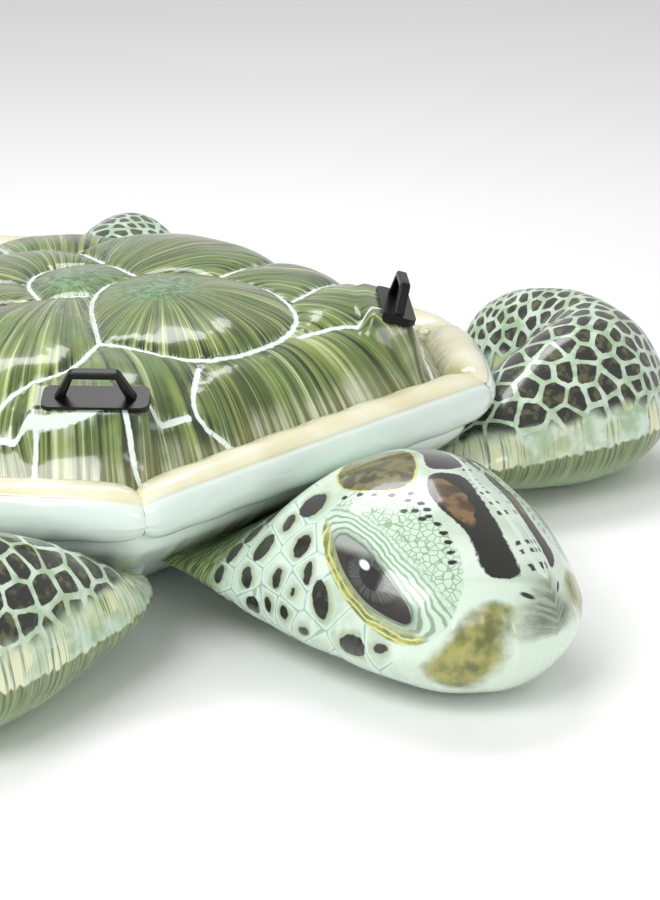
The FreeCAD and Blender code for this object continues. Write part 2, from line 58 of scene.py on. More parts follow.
def outline():
    """Corners of the rim's centre line, from the front left round by the rear to the front right."""
    left = [np.array((x, y + SHIFT)) for x, y in CORNERS]
    return left + [corner * (-1, 1) for corner in reversed(left)]


def inset(x, y, soft=0.012):
    """Distance inside the rim's centre line, with slightly rounded corners."""
    total = 0.0
    corners = outline()
    for i, a in enumerate(corners):
        b = corners[(i + 1) % len(corners)]
        along = (b - a) / np.linalg.norm(b - a)
        distance = (x - a[0]) * -along[1] + (y - a[1]) * along[0]
        total = total + np.exp(-distance / soft)
    return -soft * np.log(total)


def smooth_curve(knots, width):
    """A table of the line through the knots with its corners rounded over that width."""
    x, y = np.array(knots).T
    fine = np.linspace(x[0] - 0.2, x[-1] + 0.2, 4001)
    first_slope = (y[1] - y[0]) / (x[1] - x[0])
    raw = np.where(fine < x[0], y[0] + (fine - x[0]) * first_slope, np.interp(fine, x, y))
    reach = np.arange(-3 * width, 3 * width, fine[1] - fine[0])
    weights = np.exp(-0.5 * (reach / width) ** 2)
    padded = np.pad(raw, len(weights) // 2, mode="edge")
    return fine, np.convolve(padded, weights / weights.sum(), mode="same")[len(weights) // 2:][:len(fine)]


def through(x, y, at):
    """Smooth monotone interpolation through the points (x, y)."""
    x, y = np.asarray(x, float), np.asarray(y, float)
    gap = np.diff(x)
    slope = np.diff(y) / gap
    tangent = np.concatenate([[slope[0]], np.zeros(len(x) - 2), [slope[-1]]])
    for i in range(1, len(x) - 1):
        if slope[i - 1] * slope[i] > 0:
            w1, w2 = 2 * gap[i] + gap[i - 1], gap[i] + 2 * gap[i - 1]
            tangent[i] = (w1 + w2) / (w1 / slope[i - 1] + w2 / slope[i])
    k = np.clip(np.searchsorted(x, at) - 1, 0, len(gap) - 1)
    t = (at - x[k]) / gap[k]
    rise = (1 + 2 * t) * (1 - t) ** 2 * y[k] + t * t * (3 - 2 * t) * y[k + 1]
    return rise + t * (1 - t) ** 2 * gap[k] * tangent[k] + t * t * (t - 1) * gap[k] * tangent[k + 1]


# ---------------------------------------------------------------- mesh helpers


def grid_quads(rows, columns, round_columns=False):
    """Quads of a grid of points, whose last column joins its first where it is round."""
    i = np.arange(rows - 1)
    j = np.arange(columns if round_columns else columns - 1)
    i, j = np.meshgrid(i, j, indexing="ij")
    i, j = i.ravel(), j.ravel()
    below, beside = (i + 1) % rows, (j + 1) % columns
    return np.stack([i * columns + j, i * columns + beside, below * columns + beside, below * columns + j], 1)


def make_piece(name, points, quads, fields=None, material=None):
    """A smooth mesh object. Fields are point attributes: one number or a triple per point."""
    mesh = bpy.data.meshes.new(name)
    mesh.vertices.add(len(points))
    mesh.vertices.foreach_set("co", np.asarray(points, np.float32).ravel())
    mesh.loops.add(quads.size)
    mesh.loops.foreach_set("vertex_index", quads.astype(np.int32).ravel())
    mesh.polygons.add(len(quads))
    mesh.polygons.foreach_set("loop_start", np.arange(0, quads.size, quads.shape[1], dtype=np.int32))
    mesh.polygons.foreach_set("use_smooth", np.ones(len(quads), bool))
    for key, values in (fields or {}).items():
        values = np.asarray(values, np.float32)
        kind, slot = ("FLOAT", "value") if values.ndim == 1 else ("FLOAT_VECTOR", "vector")
        mesh.attributes.new(key, kind, "POINT").data.foreach_set(slot, values.ravel())
    mesh.update(calc_edges=True)
    mesh.validate()
    piece = bpy.data.objects.new(name, mesh)
    bpy.context.scene.collection.objects.link(piece)
    if material:
        mesh.materials.append(material)
    return piece


def grid_normals(points):
    """Unit normals of a grid of points, by differences along its rows and columns."""
    normal = np.cross(np.gradient(points, axis=0), np.gradient(points, axis=1))
    return normal / np.maximum(np.linalg.norm(normal, axis=-1, keepdims=True), 1e-12)


def nearest_on(points, line, chunk=20000):
    """Distance of each plane point to an open line of points, and where along the line that is."""
    line = np.asarray(line, float)
    starts, steps = line[:-1], np.diff(line, axis=0)
    lengths = np.maximum(np.linalg.norm(steps, axis=1), 1e-9)
    before = np.concatenate([[0], np.cumsum(lengths)[:-1]])
    distance, place = np.empty(len(points)), np.empty(len(points))
    foot = np.empty((len(points), 2))
    for k in range(0, len(points), chunk):
        part = points[k:k + chunk, None, :]
        t = np.clip(((part - starts) * steps).sum(2) / lengths ** 2, 0, 1)
        near = starts + t[..., None] * steps
        gap = np.linalg.norm(part - near, axis=2)
        best = gap.argmin(1)
        rows = np.arange(len(best))
        distance[k:k + chunk] = gap[rows, best]
        place[k:k + chunk] = before[best] + t[rows, best] * lengths[best]
        foot[k:k + chunk] = near[rows, best]
    return distance, place, foot


def rounded(points, closed, rounds=2):
    """The line through given points with its corners cut round."""
    line = np.asarray(points, float)
    for _ in range(rounds):
        ends = np.roll(line, -1, axis=0) if closed else line[1:]
        starts = line if closed else line[:-1]
        cut = np.stack([starts * 0.75 + ends * 0.25, starts * 0.25 + ends * 0.75], 1).reshape(-1, 2)
        line = cut if closed else np.concatenate([line[:1], cut, line[-1:]])
    return line


def signed_distance(points, shape):
    """Distance to a closed shape's edge, below zero inside it."""
    ring = np.concatenate([shape, shape[:1]])
    distance = nearest_on(points, ring)[0]
    inside = np.zeros(len(points), bool)
    for a, b in zip(ring[:-1], ring[1:]):
        crosses = (a[1] > points[:, 1]) != (b[1] > points[:, 1])
        at = a[0] + (points[:, 1] - a[1]) * (b[0] - a[0]) / (b[1] - a[1] + 1e-12)
        inside ^= crosses & (points[:, 0] < at)
    return np.where(inside, -distance, distance)


def nearest_cells(points, centres, chunk=8000):
    """Half the difference between the two nearest centres' distances, and the nearest centre's number."""
    edge, owner = np.empty(len(points)), np.empty(len(points), int)
    for k in range(0, len(points), chunk):
        gap = np.linalg.norm(points[k:k + chunk, None, :] - centres, axis=2)
        two = np.argpartition(gap, 1, axis=1)[:, :2]
        near = np.take_along_axis(gap, two, 1)
        owner[k:k + chunk] = two[np.arange(len(two)), near.argmin(1)]
        edge[k:k + chunk] = np.abs(near[:, 1] - near[:, 0]) / 2
    return edge, owner


def waves(points, sizes, seed):
    """Soft seeded noise from crossing sine waves of those sizes, about -1 to 1."""
    random = np.random.RandomState(seed)
    total = 0.0
    for size in sizes:
        for _ in range(5):
            heading = random.normal(size=points.shape[-1])
            heading *= 2 * math.pi / (size * np.linalg.norm(heading))
            total = total + np.sin(points @ heading + random.uniform(0, 2 * math.pi))
    return total / math.sqrt(5 * len(sizes)) * 0.7


def pleats(place, seed, sizes=(0.017, 0.026, 0.041)):
    """Sharp-bottomed gathers along a seam, about -1 to 1 across the seam's length."""
    random = np.random.RandomState(seed)
    total = 0.0
    for size in sizes:
        sway = 0.35 * np.sin(place / (size * 3.1) + random.uniform(0, 6))
        total = total + 1.6 * np.abs(np.sin(math.pi * place / size + sway + random.uniform(0, 6))) - 1
    return total / len(sizes)


# ---------------------------------------------------------------- node materials


def srgb(red, green, blue):
    """A colour given as it looks on a screen, 0 to 1, as the shader's linear colour."""
    return tuple(((c + 0.055) / 1.055) ** 2.4 if c > 0.04 else c / 12.92 for c in (red, green, blue)) + (1.0,)


class Paint:
    """Builds one node material. A value may be a number, a colour or another node's socket."""

    def __init__(self, name, roughness=0.24, coat=0.6):
        self.material = bpy.data.materials.new(name)
        self.material.use_nodes = True
        self.tree = self.material.node_tree
        self.shader = self.tree.nodes["Principled BSDF"]
        self.shader.inputs["Roughness"].default_value = roughness
        self.shader.inputs["Coat Weight"].default_value = coat
        self.shader.inputs["Coat Roughness"].default_value = 0.07

    def node(self, kind, inputs=None, **settings):
        made = self.tree.nodes.new("ShaderNode" + kind)
        for key, value in settings.items():
            setattr(made, key, value)
        for key, value in (inputs or {}).items():
            self.feed(made.inputs[key], value)
        return made

    def feed(self, socket, value):
        if isinstance(value, bpy.types.NodeSocket):
            self.tree.links.new(value, socket)
        else:
            socket.default_value = value

    def field(self, name, output="Fac"):
        return self.node("Attribute", attribute_name=name).outputs[output]

    def place(self):
        return self.node("TexCoord").outputs["Object"]

    def math(self, operation, a, b=0.0, c=0.0):
        return self.node("Math", {0: a, 1: b, 2: c}, operation=operation).outputs[0]

    def times(self, a, b):
        return self.math("MULTIPLY", a, b)

    def plus(self, a, b):
        return self.math("ADD", a, b)

    def minus(self, a, b):
        return self.math("SUBTRACT", a, b)

    def step(self, value, low, high):
        """0 at low, 1 at high, smooth between them. Low may be the larger one."""
        made = self.node("MapRange", {"Value": value, "From Min": low, "From Max": high},
                         interpolation_type="SMOOTHSTEP")
        return made.outputs[0]

    def mix(self, factor, a, b):
        return self.node("Mix", {0: factor, 6: a, 7: b}, data_type="RGBA").outputs[2]

    def stretch(self, vector, x, y, z):
        return self.node("VectorMath", {0: vector, 1: (x, y, z)}, operation="MULTIPLY").outputs[0]

    def parts(self, vector):
        return self.node("SeparateXYZ", {0: vector}).outputs

    def join(self, x, y, z):
        return self.node("CombineXYZ", {0: x, 1: y, 2: z}).outputs[0]

    def noise(self, vector, scale, detail=2.0, roughness=0.5):
        inputs = {"Vector": vector, "Scale": scale, "Detail": detail, "Roughness": roughness}
        return self.node("TexNoise", inputs).outputs[0]

    def clouds(self, vector, scale, detail, low, high):
        """Soft patches: 0 where the noise is under low, 1 where it is over high."""
        return self.step(self.noise(vector, scale, detail), low, high)

    def jitter(self, vector, scale, amount, detail=2.0):
        """Noise centred on zero, up to about that amount."""
        return self.times(self.minus(self.noise(vector, scale, detail), 0.5), 2 * amount)

    def finish(self, colour, height=None, depth=0.0004):
        """Connects the colour and a faint bump, the film's own grain where no height is given."""
        self.feed(self.shader.inputs["Base Color"], colour)
        if height is None:
            height = self.noise(self.place(), 900.0, 1.0)
            depth = 0.00002
        bump = self.node("Bump", {"Height": height, "Distance": depth, "Strength": 0.5})
        self.feed(self.shader.inputs["Normal"], bump.outputs[0])
        return self.material


WHITE_LINE = srgb(0.93, 0.97, 0.94)


def shell_paint():
    """Scutes with fine streaks from a mottled top, dark fringes, a pale rim side and white creases."""
    p = Paint("shell_print", roughness=0.26)
    crease, reach, edge = p.field("crease"), p.field("reach"), p.field("edge")
    ray = p.field("ray", "Vector")
    place = p.place()
    number = p.math("MULTIPLY_ADD", reach, 2.2, p.times(p.parts(ray)[2], 5.3))
    cos, sin = p.parts(ray)[0], p.parts(ray)[1]

    def streaks(fineness, detail):
        vector = p.join(p.times(cos, fineness), p.times(sin, fineness), number)
        return p.noise(vector, 1.0, detail, 0.62)

    fine, broad = streaks(52.0, 3.0), streaks(17.0, 2.0)
    cloud = p.noise(place, 9.0, 3.0)
    colour = p.mix(p.step(broad, 0.36, 0.66), srgb(0.28, 0.34, 0.13), srgb(0.55, 0.62, 0.32))
    colour = p.mix(p.step(cloud, 0.42, 0.70), colour, srgb(0.38, 0.50, 0.26))
    colour = p.mix(p.step(fine, 0.49, 0.35), colour, srgb(0.16, 0.19, 0.07))
    colour = p.mix(p.step(fine, 0.56, 0.72), colour, srgb(0.80, 0.85, 0.62))
    mottle = p.noise(place, 75.0, 4.0, 0.65)
    crown = p.step(p.plus(reach, p.jitter(place, 22.0, 0.05)), 0.115, 0.02)
    top = p.mix(p.step(mottle, 0.40, 0.62), srgb(0.20, 0.38, 0.22), srgb(0.50, 0.70, 0.49))
    colour = p.mix(p.times(crown, 0.75), colour, top)
    patchy = p.clouds(place, 14.0, 1.0, 0.46, 0.60)
    fringe = p.step(p.plus(crease, p.times(p.minus(broad, 0.5), 0.05)), 0.030, 0.006)
    fringe = p.times(p.times(fringe, patchy), p.step(fine, 0.60, 0.45))
    colour = p.mix(p.times(fringe, 0.85), colour, srgb(0.09, 0.14, 0.08))
    pale = p.step(p.plus(edge, p.jitter(place, 16.0, 0.03)), 0.084, 0.040)
    gold = p.mix(p.step(fine, 0.42, 0.62), srgb(0.50, 0.50, 0.30), srgb(0.87, 0.89, 0.80))
    colour = p.mix(p.times(pale, 0.8), colour, gold)
    ragged = p.plus(crease, p.jitter(place, 90.0, 0.0018))
    halo = p.times(p.step(ragged, 0.012, 0.003), p.step(fine, 0.46, 0.66))
    colour = p.mix(p.times(halo, 0.75), colour, srgb(0.80, 0.90, 0.80))
    colour = p.mix(p.step(ragged, 0.0048, 0.0030), colour, WHITE_LINE)
    return p.finish(colour)


def rim_paint():
    """Cream on the shell's side, mint-white below a welded seam."""
    p = Paint("rim_print", roughness=0.22)
    place = p.place()
    turn = p.plus(p.field("turn"), p.jitter(place, 10.0, 0.05))
    cloud = p.noise(place, 7.0, 3.0)
    cream = p.mix(p.step(cloud, 0.35, 0.7), srgb(0.88, 0.86, 0.71), srgb(0.94, 0.93, 0.84))
    streak = p.noise(p.join(p.times(p.field("along"), 90.0), p.times(turn, 2.0), 0.0), 1.0, 2.0)
    olive = p.times(p.step(turn, 1.9, 2.6), p.step(streak, 0.42, 0.62))
    cream = p.mix(p.times(olive, 0.55), cream, srgb(0.62, 0.62, 0.40))
    corner = p.step(p.field("corner"), 0.35, 0.9)
    cream = p.mix(p.times(corner, p.step(turn, 1.2, 2.4)), cream, srgb(0.66, 0.68, 0.42))
    colour = p.mix(p.step(turn, 0.58, 0.86), srgb(0.89, 0.945, 0.915), cream)
    seam = p.step(p.math("ABSOLUTE", p.minus(p.field("turn"), 0.72)), 0.045, 0.015)
    colour = p.mix(p.times(seam, 0.35), colour, srgb(0.97, 0.99, 0.97))
    weld = p.noise(p.join(p.times(p.field("along"), 260.0), 0.0, 0.0), 1.0, 1.0)
    return p.finish(colour, p.times(seam, weld), 0.0006)


def hull_paint():
    """Plain pale mint film, a little greener low down."""
    p = Paint("hull_film", roughness=0.2)
    place = p.place()
    low = p.step(p.plus(p.parts(place)[2], p.jitter(place, 6.0, 0.03)), 0.16, 0.02)
    colour = p.mix(low, srgb(0.89, 0.945, 0.915), srgb(0.82, 0.90, 0.86))
    colour = p.mix(p.times(p.clouds(place, 4.0, 2.0, 0.4, 0.7), 0.3), colour, srgb(0.92, 0.96, 0.92))
    return p.finish(colour)


def flipper_paint(name, spot_shade, net_shade):
    """Dark spots in a pale net over a lined cream band, with darker olive below the print's edge."""
    p = Paint(name, roughness=0.24)
    place = p.place()
    net, cell, height, lead = p.field("net"), p.field("cell"), p.field("height"), p.field("place_along")
    ragged = p.plus(net, p.jitter(place, 120.0, 0.0016, 3.0))
    margin = p.math("MULTIPLY_ADD", cell, 0.0028, 0.0026)
    spot = p.step(p.minus(ragged, margin), -0.0006, 0.0010)
    ground = p.mix(p.clouds(place, 30.0, 3.0, 0.35, 0.65), net_shade, srgb(0.66, 0.76, 0.62))
    inner = p.mix(p.clouds(place, 55.0, 3.0, 0.48, 0.66), spot_shade, srgb(0.36, 0.36, 0.24))
    upper = p.plus(height, p.jitter(place, 14.0, 0.03))
    faint = p.step(upper, 0.045, 0.075)
    colour = p.mix(p.times(spot, faint), ground, inner)
    lines = p.noise(p.join(p.times(lead, 150.0), p.times(height, 5.0), 0.0), 1.0, 2.0)
    cloud = p.clouds(place, 9.0, 2.0, 0.42, 0.66)
    band = p.mix(cloud, srgb(0.90, 0.91, 0.76), srgb(0.82, 0.81, 0.55))
    band = p.mix(p.times(p.step(lines, 0.52, 0.62), 0.85), band, srgb(0.30, 0.47, 0.42))
    in_band = p.times(p.step(upper, 0.070, 0.040), p.step(cell, 0.95, 0.35))
    colour = p.mix(in_band, colour, band)
    jagged = p.plus(height, p.jitter(p.join(p.times(lead, 60.0), 0.0, 0.0), 1.0, 0.012, 1.0))
    olive = p.mix(p.step(lines, 0.38, 0.62), srgb(0.30, 0.37, 0.20), srgb(0.52, 0.60, 0.38))
    olive = p.mix(p.step(height, -0.02, -0.09), olive, srgb(0.62, 0.72, 0.55))
    colour = p.mix(p.step(jagged, 0.004, -0.001), colour, olive)
    return p.finish(colour)


def head_paint():
    """The turtle's face: spotted neck, ringed eye with wrinkled lid, dark scales, pale jaw."""
    p = Paint("head_print", roughness=0.24)
    place = p.place()
    skin = p.field("skin", "Vector")
    forward, upward = p.parts(skin)[0], p.parts(skin)[1]
    grain = p.jitter(place, 110.0, 0.0036, 4.0)
    soft = p.jitter(place, 45.0, 0.006, 3.0)

    def inside(field, ragged=grain, blur=0.0014):
        return p.step(p.plus(p.field(field), ragged), blur, -blur)

    cloud = p.noise(place, 16.0, 3.0)
    colour = p.mix(p.step(cloud, 0.35, 0.65), srgb(0.87, 0.925, 0.87), srgb(0.76, 0.84, 0.75))
    halo = p.step(p.plus(p.field("spot"), soft), 0.012, 0.0)
    colour = p.mix(p.times(halo, 0.5), colour, srgb(0.50, 0.56, 0.34))
    line = p.step(p.plus(p.field("net"), p.jitter(place, 120.0, 0.0006)), 0.0016, 0.0006)
    pale = p.step(p.field("net"), 0.006, 0.002)
    colour = p.mix(pale, colour, srgb(0.83, 0.92, 0.87))
    colour = p.mix(p.times(line, 0.6), colour, srgb(0.50, 0.58, 0.48))
    stripe = p.noise(p.join(p.times(forward, 260.0), p.times(upward, 30.0), 0.0), 1.0, 2.0)
    neck = p.step(p.plus(forward, p.jitter(place, 20.0, 0.02)), 0.150, 0.110)
    olive = p.mix(p.step(stripe, 0.42, 0.60), srgb(0.30, 0.38, 0.16), srgb(0.62, 0.70, 0.45))
    colour = p.mix(neck, colour, olive)
    colour = p.mix(inside("spot"), colour, srgb(0.15, 0.15, 0.13))

    jaw = p.step(p.plus(p.field("jaw"), soft), 0.02, -0.02)
    colour = p.mix(jaw, colour, srgb(0.86, 0.93, 0.86))
    cheek = p.mix(p.clouds(place, 34.0, 3.0, 0.36, 0.66), srgb(0.42, 0.44, 0.22), srgb(0.66, 0.65, 0.36))
    colour = p.mix(inside("cheek", p.jitter(place, 35.0, 0.012, 3.0), 0.010), colour, cheek)
    bands = p.step(p.noise(p.join(p.times(forward, 55.0), p.times(upward, 55.0), 0.0), 1.0), 0.4, 0.6)
    muzzle = p.mix(bands, srgb(0.36, 0.40, 0.32), srgb(0.60, 0.64, 0.54))
    colour = p.mix(p.times(inside("muzzle", soft, 0.012), 0.9), colour, muzzle)

    socket = p.field("socket")
    wave = p.math("SINE", p.math("MULTIPLY_ADD", p.field("almond"), 560.0, p.jitter(place, 30.0, 5.0)))
    lid = p.mix(p.step(wave, -0.2, 0.8), srgb(0.82, 0.90, 0.83), srgb(0.58, 0.68, 0.58))
    scales = p.node("TexVoronoi", {"Vector": place, "Scale": 95.0}, feature="DISTANCE_TO_EDGE").outputs[0]
    scaly = p.mix(p.step(scales, 0.10, 0.03), srgb(0.80, 0.89, 0.80), srgb(0.58, 0.68, 0.57))
    lid = p.mix(p.step(p.field("almond"), 0.035, 0.075), lid, scaly)
    yellow = p.mix(p.clouds(place, 50.0, 2.0, 0.4, 0.6), srgb(0.72, 0.73, 0.40), srgb(0.50, 0.52, 0.26))
    ring = p.times(p.step(socket, -0.030, -0.008), p.step(p.field("lower"), -0.1, 0.25))
    lid = p.mix(ring, lid, p.mix(p.step(wave, 0.1, 0.9), yellow, srgb(0.85, 0.87, 0.62)))
    shade = p.step(p.field("almond"), 0.020, 0.0)
    lid = p.mix(p.times(shade, 0.55), lid, srgb(0.20, 0.26, 0.20))
    colour = p.mix(p.step(socket, 0.002, -0.002), colour, lid)

    scale_edge = srgb(0.80, 0.83, 0.50)
    brow = p.mix(p.clouds(place, 42.0, 3.0, 0.42, 0.60), srgb(0.25, 0.24, 0.12), srgb(0.46, 0.44, 0.26))
    colour = p.mix(inside("brow_edge"), colour, scale_edge)
    colour = p.mix(inside("brow"), colour, brow)
    colour = p.mix(inside("dark"), colour, srgb(0.11, 0.12, 0.10))
    patch = p.mix(p.clouds(place, 40.0, 2.0, 0.42, 0.60), srgb(0.30, 0.22, 0.13), srgb(0.50, 0.40, 0.26))
    colour = p.mix(inside("patch", p.jitter(place, 60.0, 0.007, 3.0)), colour, patch)
    ridge = p.plus(p.field("ridge"), grain)
    ticks = p.step(p.noise(p.join(p.times(forward, 95.0), 0.0, 0.0), 1.0, 0.0), 0.52, 0.60)
    colour = p.mix(p.times(p.step(ridge, 0.010, 0.008), ticks), colour, srgb(0.16, 0.17, 0.16))
    colour = p.mix(p.step(ridge, 0.0045, 0.0030), colour, srgb(0.86, 0.92, 0.87))
    colour = p.mix(inside("nostril", 0.0, 0.0015), colour, srgb(0.14, 0.15, 0.13))

    gaze = p.field("gaze", "Vector")
    across, over = p.parts(gaze)[0], p.parts(gaze)[1]
    distance = p.node("VectorMath", {0: gaze}, operation="LENGTH").outputs["Value"]
    threads = p.noise(p.stretch(p.node("VectorMath", {0: gaze}, operation="NORMALIZE").outputs[0], 9, 9, 1),
                      1.0, 2.0)
    iris = p.mix(p.step(threads, 0.40, 0.64), srgb(0.20, 0.21, 0.20), srgb(0.33, 0.35, 0.33))
    iris = p.mix(p.step(distance, 0.75, 1.0), iris, srgb(0.10, 0.10, 0.09))
    iris = p.mix(p.step(distance, 0.50, 0.42), iris, srgb(0.02, 0.02, 0.02))
    eye = p.mix(p.step(distance, 0.97, 1.05), iris, srgb(0.18, 0.15, 0.13))
    glint = p.node("VectorMath", {0: gaze, 1: (-0.20, 0.45, 0.0)}, operation="DISTANCE").outputs["Value"]
    eye = p.mix(p.step(glint, 0.24, 0.14), eye, srgb(0.93, 0.96, 0.97))
    # Painted reflection: the upper rear part of the eye is lightened towards grey, as if the sky shone in it.
    sky = p.times(p.step(over, 0.60, 1.10), p.step(across, 0.45, -0.1))
    eye = p.mix(p.times(sky, 0.75), eye, srgb(0.72, 0.75, 0.72))
    colour = p.mix(p.step(p.field("almond"), 0.0012, -0.0008), colour, eye)
    return p.finish(colour)


def handle_paint():
    """Black moulded vinyl with a fine leathery grain and a faint dust in it."""
    p = Paint("handle_black", roughness=0.32, coat=0.0)
    p.shader.inputs["Specular IOR Level"].default_value = 0.35
    place = p.place()
    grain = p.noise(place, 520.0, 2.0)
    dusty = p.clouds(place, 60.0, 2.0, 0.35, 0.75)
    colour = p.mix(dusty, srgb(0.015, 0.015, 0.018), srgb(0.045, 0.045, 0.05))
    return p.finish(colour, grain, 0.00018)


def valve_paint():
    """Milky soft vinyl with faint mould marks."""
    p = Paint("valve_milky", roughness=0.38, coat=0.2)
    place = p.place()
    colour = p.mix(p.clouds(place, 90.0, 2.0, 0.35, 0.7), srgb(0.86, 0.89, 0.90), srgb(0.93, 0.95, 0.95))
    rings = p.noise(p.stretch(place, 1.0, 0.1, 1.0), 700.0, 1.0)
    return p.finish(colour, rings, 0.0001)


def inner_paint():
    """Unprinted inner film, slightly wrinkled."""
    p = Paint("inner_film", roughness=0.45, coat=0.0)
    place = p.place()
    colour = p.mix(p.clouds(place, 12.0, 3.0, 0.35, 0.7), srgb(0.80, 0.84, 0.82), srgb(0.88, 0.91, 0.89))
    return p.finish(colour, p.noise(place, 60.0, 3.0), 0.001)


# ---------------------------------------------------------------- the shell

SHELL_KNOTS = [(0.020, 0.236), (0.046, 0.266), (0.085, 0.318), (0.12, 0.346), (0.16, 0.366), (0.20, 0.378),
               (0.30, 0.392), (0.60, 0.401)]
SHELL_TABLE = smooth_curve(SHELL_KNOTS, 0.012)
# The shell falls towards the tail: where that starts and ends, and by how much.
FALL_START, FALL_END, FALL = 0.05, 0.75, 0.050
# The steep stretch of the rear wall that the body valve is welded to.
VALVE_WALL = [(0.040, 0.262), (0.0515, 0.284), (0.0545, 0.338), (0.085, 0.346), (0.12, 0.350), (0.70, 0.360)]
SHELL_CENTRE = (0.0, 0.21)
HANDLE_ACROSS, HANDLE_AHEAD, HANDLE_HEIGHT = 0.338, 0.225, 0.388
HANDLE_TOE, HANDLE_TILT = math.radians(42), math.radians(16)
PLATE_LENGTH, PLATE_WIDTH = 0.166, 0.058

# Junctions of the crease lines on the shell, from above.
J = {
    "v2_rear_near": (-0.030, 0.118), "v2_near": (-0.178, -0.086), "v2_front_near": (-0.100, -0.239),
    "v2_front_far": (0.126, -0.241), "v2_far": (0.215, -0.137), "v2_rear_far": (0.210, 0.043),
    "v2_back": (0.115, 0.158),
    "v1_near": (-0.186, -0.311), "v1_foot": (-0.135, -0.359), "v1_far": (0.350, -0.317),
    "v1_far_foot": (0.335, -0.357),
    "ring_n1": (-0.319, -0.307), "ring_n2": (-0.421, -0.220), "ring_n3": (-0.465, -0.137),
    "ring_n4": (-0.475, 0.043),
    "ring_n5": (-0.478, 0.213), "ring_n6": (-0.475, 0.413), "ring_n7": (-0.455, 0.493),
    "ring_n8": (-0.370, 0.693),
    "ring_n9": (-0.250, 0.783), "ring_r1": (-0.120, 0.793), "ring_r2": (0.130, 0.793),
    "ring_f9": (0.250, 0.783),
    "ring_f8": (0.360, 0.693), "ring_f7": (0.460, 0.493), "ring_f4": (0.475, 0.123),
    "ring_f3": (0.470, -0.037),
    "ring_f2": (0.468, -0.127), "ring_f1": (0.430, -0.237),
    "v3_a": (-0.100, 0.158), "v3_b": (-0.040, 0.278), "v3_c": (0.060, 0.328), "v3_d": (0.150, 0.283),
    "v4_a": (-0.140, 0.413), "v4_b": (-0.060, 0.523), "v4_c": (0.120, 0.523), "v4_d": (0.200, 0.413),
    "v5_a": (-0.130, 0.643), "v5_b": (0.190, 0.653),
}
CREASES = [
    ["v2_near", "v2_front_near", "v2_front_far", "v2_far", "v2_rear_far", "v2_back", "v2_rear_near",
     "v2_near"],
    ["v2_front_near", "v1_near", "v1_foot"],
    ["v2_front_far", (0.210, -0.242), (0.290, -0.267), "v1_far", "v1_far_foot"],
    ["v2_near", (-0.283, -0.145), (-0.365, -0.117), (-0.430, -0.127), "ring_n3"],
    ["v2_far", (0.399, -0.078), "ring_f3"],
    ["v2_rear_far", (0.340, 0.073), "ring_f4"],
    ["v2_rear_near", "v3_a", (-0.168, 0.182), "ring_n5"],
    ["v3_a", "v3_b", "v3_c", "v3_d", "v2_back"],
    ["v3_b", "v4_a", "v4_b", "v4_c", "v4_d", "v3_d"],
    ["v4_a", "ring_n6"],
    ["v4_d", (0.330, 0.440), "ring_f7"],
    ["v4_b", "v5_a", "ring_r1"],
    ["v4_c", "v5_b", "ring_r2"],
    ["v5_b", "ring_f8"],
    ["v5_a", "ring_n8"],
    ["v1_near", "ring_n1", "ring_n2", "ring_n3", "ring_n4", "ring_n5", "ring_n6", "ring_n7", "ring_n8",
     "ring_n9",
     "ring_r1", "ring_r2", "ring_f9", "ring_f8", "ring_f7", "ring_f4", "ring_f3", "ring_f2", "ring_f1",
     "v1_far"],
]
# Where the short creases between the marginal scutes leave the ring, besides its junctions.
MARGINS = [(-0.319, -0.307), (-0.421, -0.220), (0.430, -0.237), (-0.478, -0.02), (-0.478, 0.12),
           (-0.477, 0.26),
           (-0.476, 0.39), (0.475, 0.03), (0.474, 0.19), (0.470, 0.33), (-0.43, 0.56), (0.43, 0.56),
           (-0.34, 0.72),
           (0.335, 0.72), (-0.19, 0.79), (0.0, 0.795), (0.19, 0.79)]


def crease_lines():
    """Every crease between two scutes as a rounded line, seen from above."""
    lines = []
    for route in CREASES:
        points = [J[stop] if isinstance(stop, str) else stop for stop in route]
        lines.append(rounded(points, closed=False))
    for x, y in MARGINS:
        step = 0.002
        slope = np.array([inset(x + step, y) - inset(x - step, y), inset(x, y + step) - inset(x, y - step)])
        out = -slope / np.linalg.norm(slope)
        lines.append(np.array([(x, y), np.array((x, y)) + out * (inset(x, y) - RIM_RADIUS + 0.01)]))
    return lines


def nearest_crease(points, lines):
    """Distance to the nearest crease, place along it, and the point of it that is nearest."""
    best = np.full(len(points), 9.0)
    place = np.zeros(len(points))
    foot = points.copy()
    for k, line in enumerate(lines):
        distance, at, near = nearest_on(points, line)
        closer = distance < best
        best = np.where(closer, distance, best)
        place = np.where(closer, at + 3.7 * k, place)
        foot = np.where(closer[:, None], near, foot)
    return best, place, foot


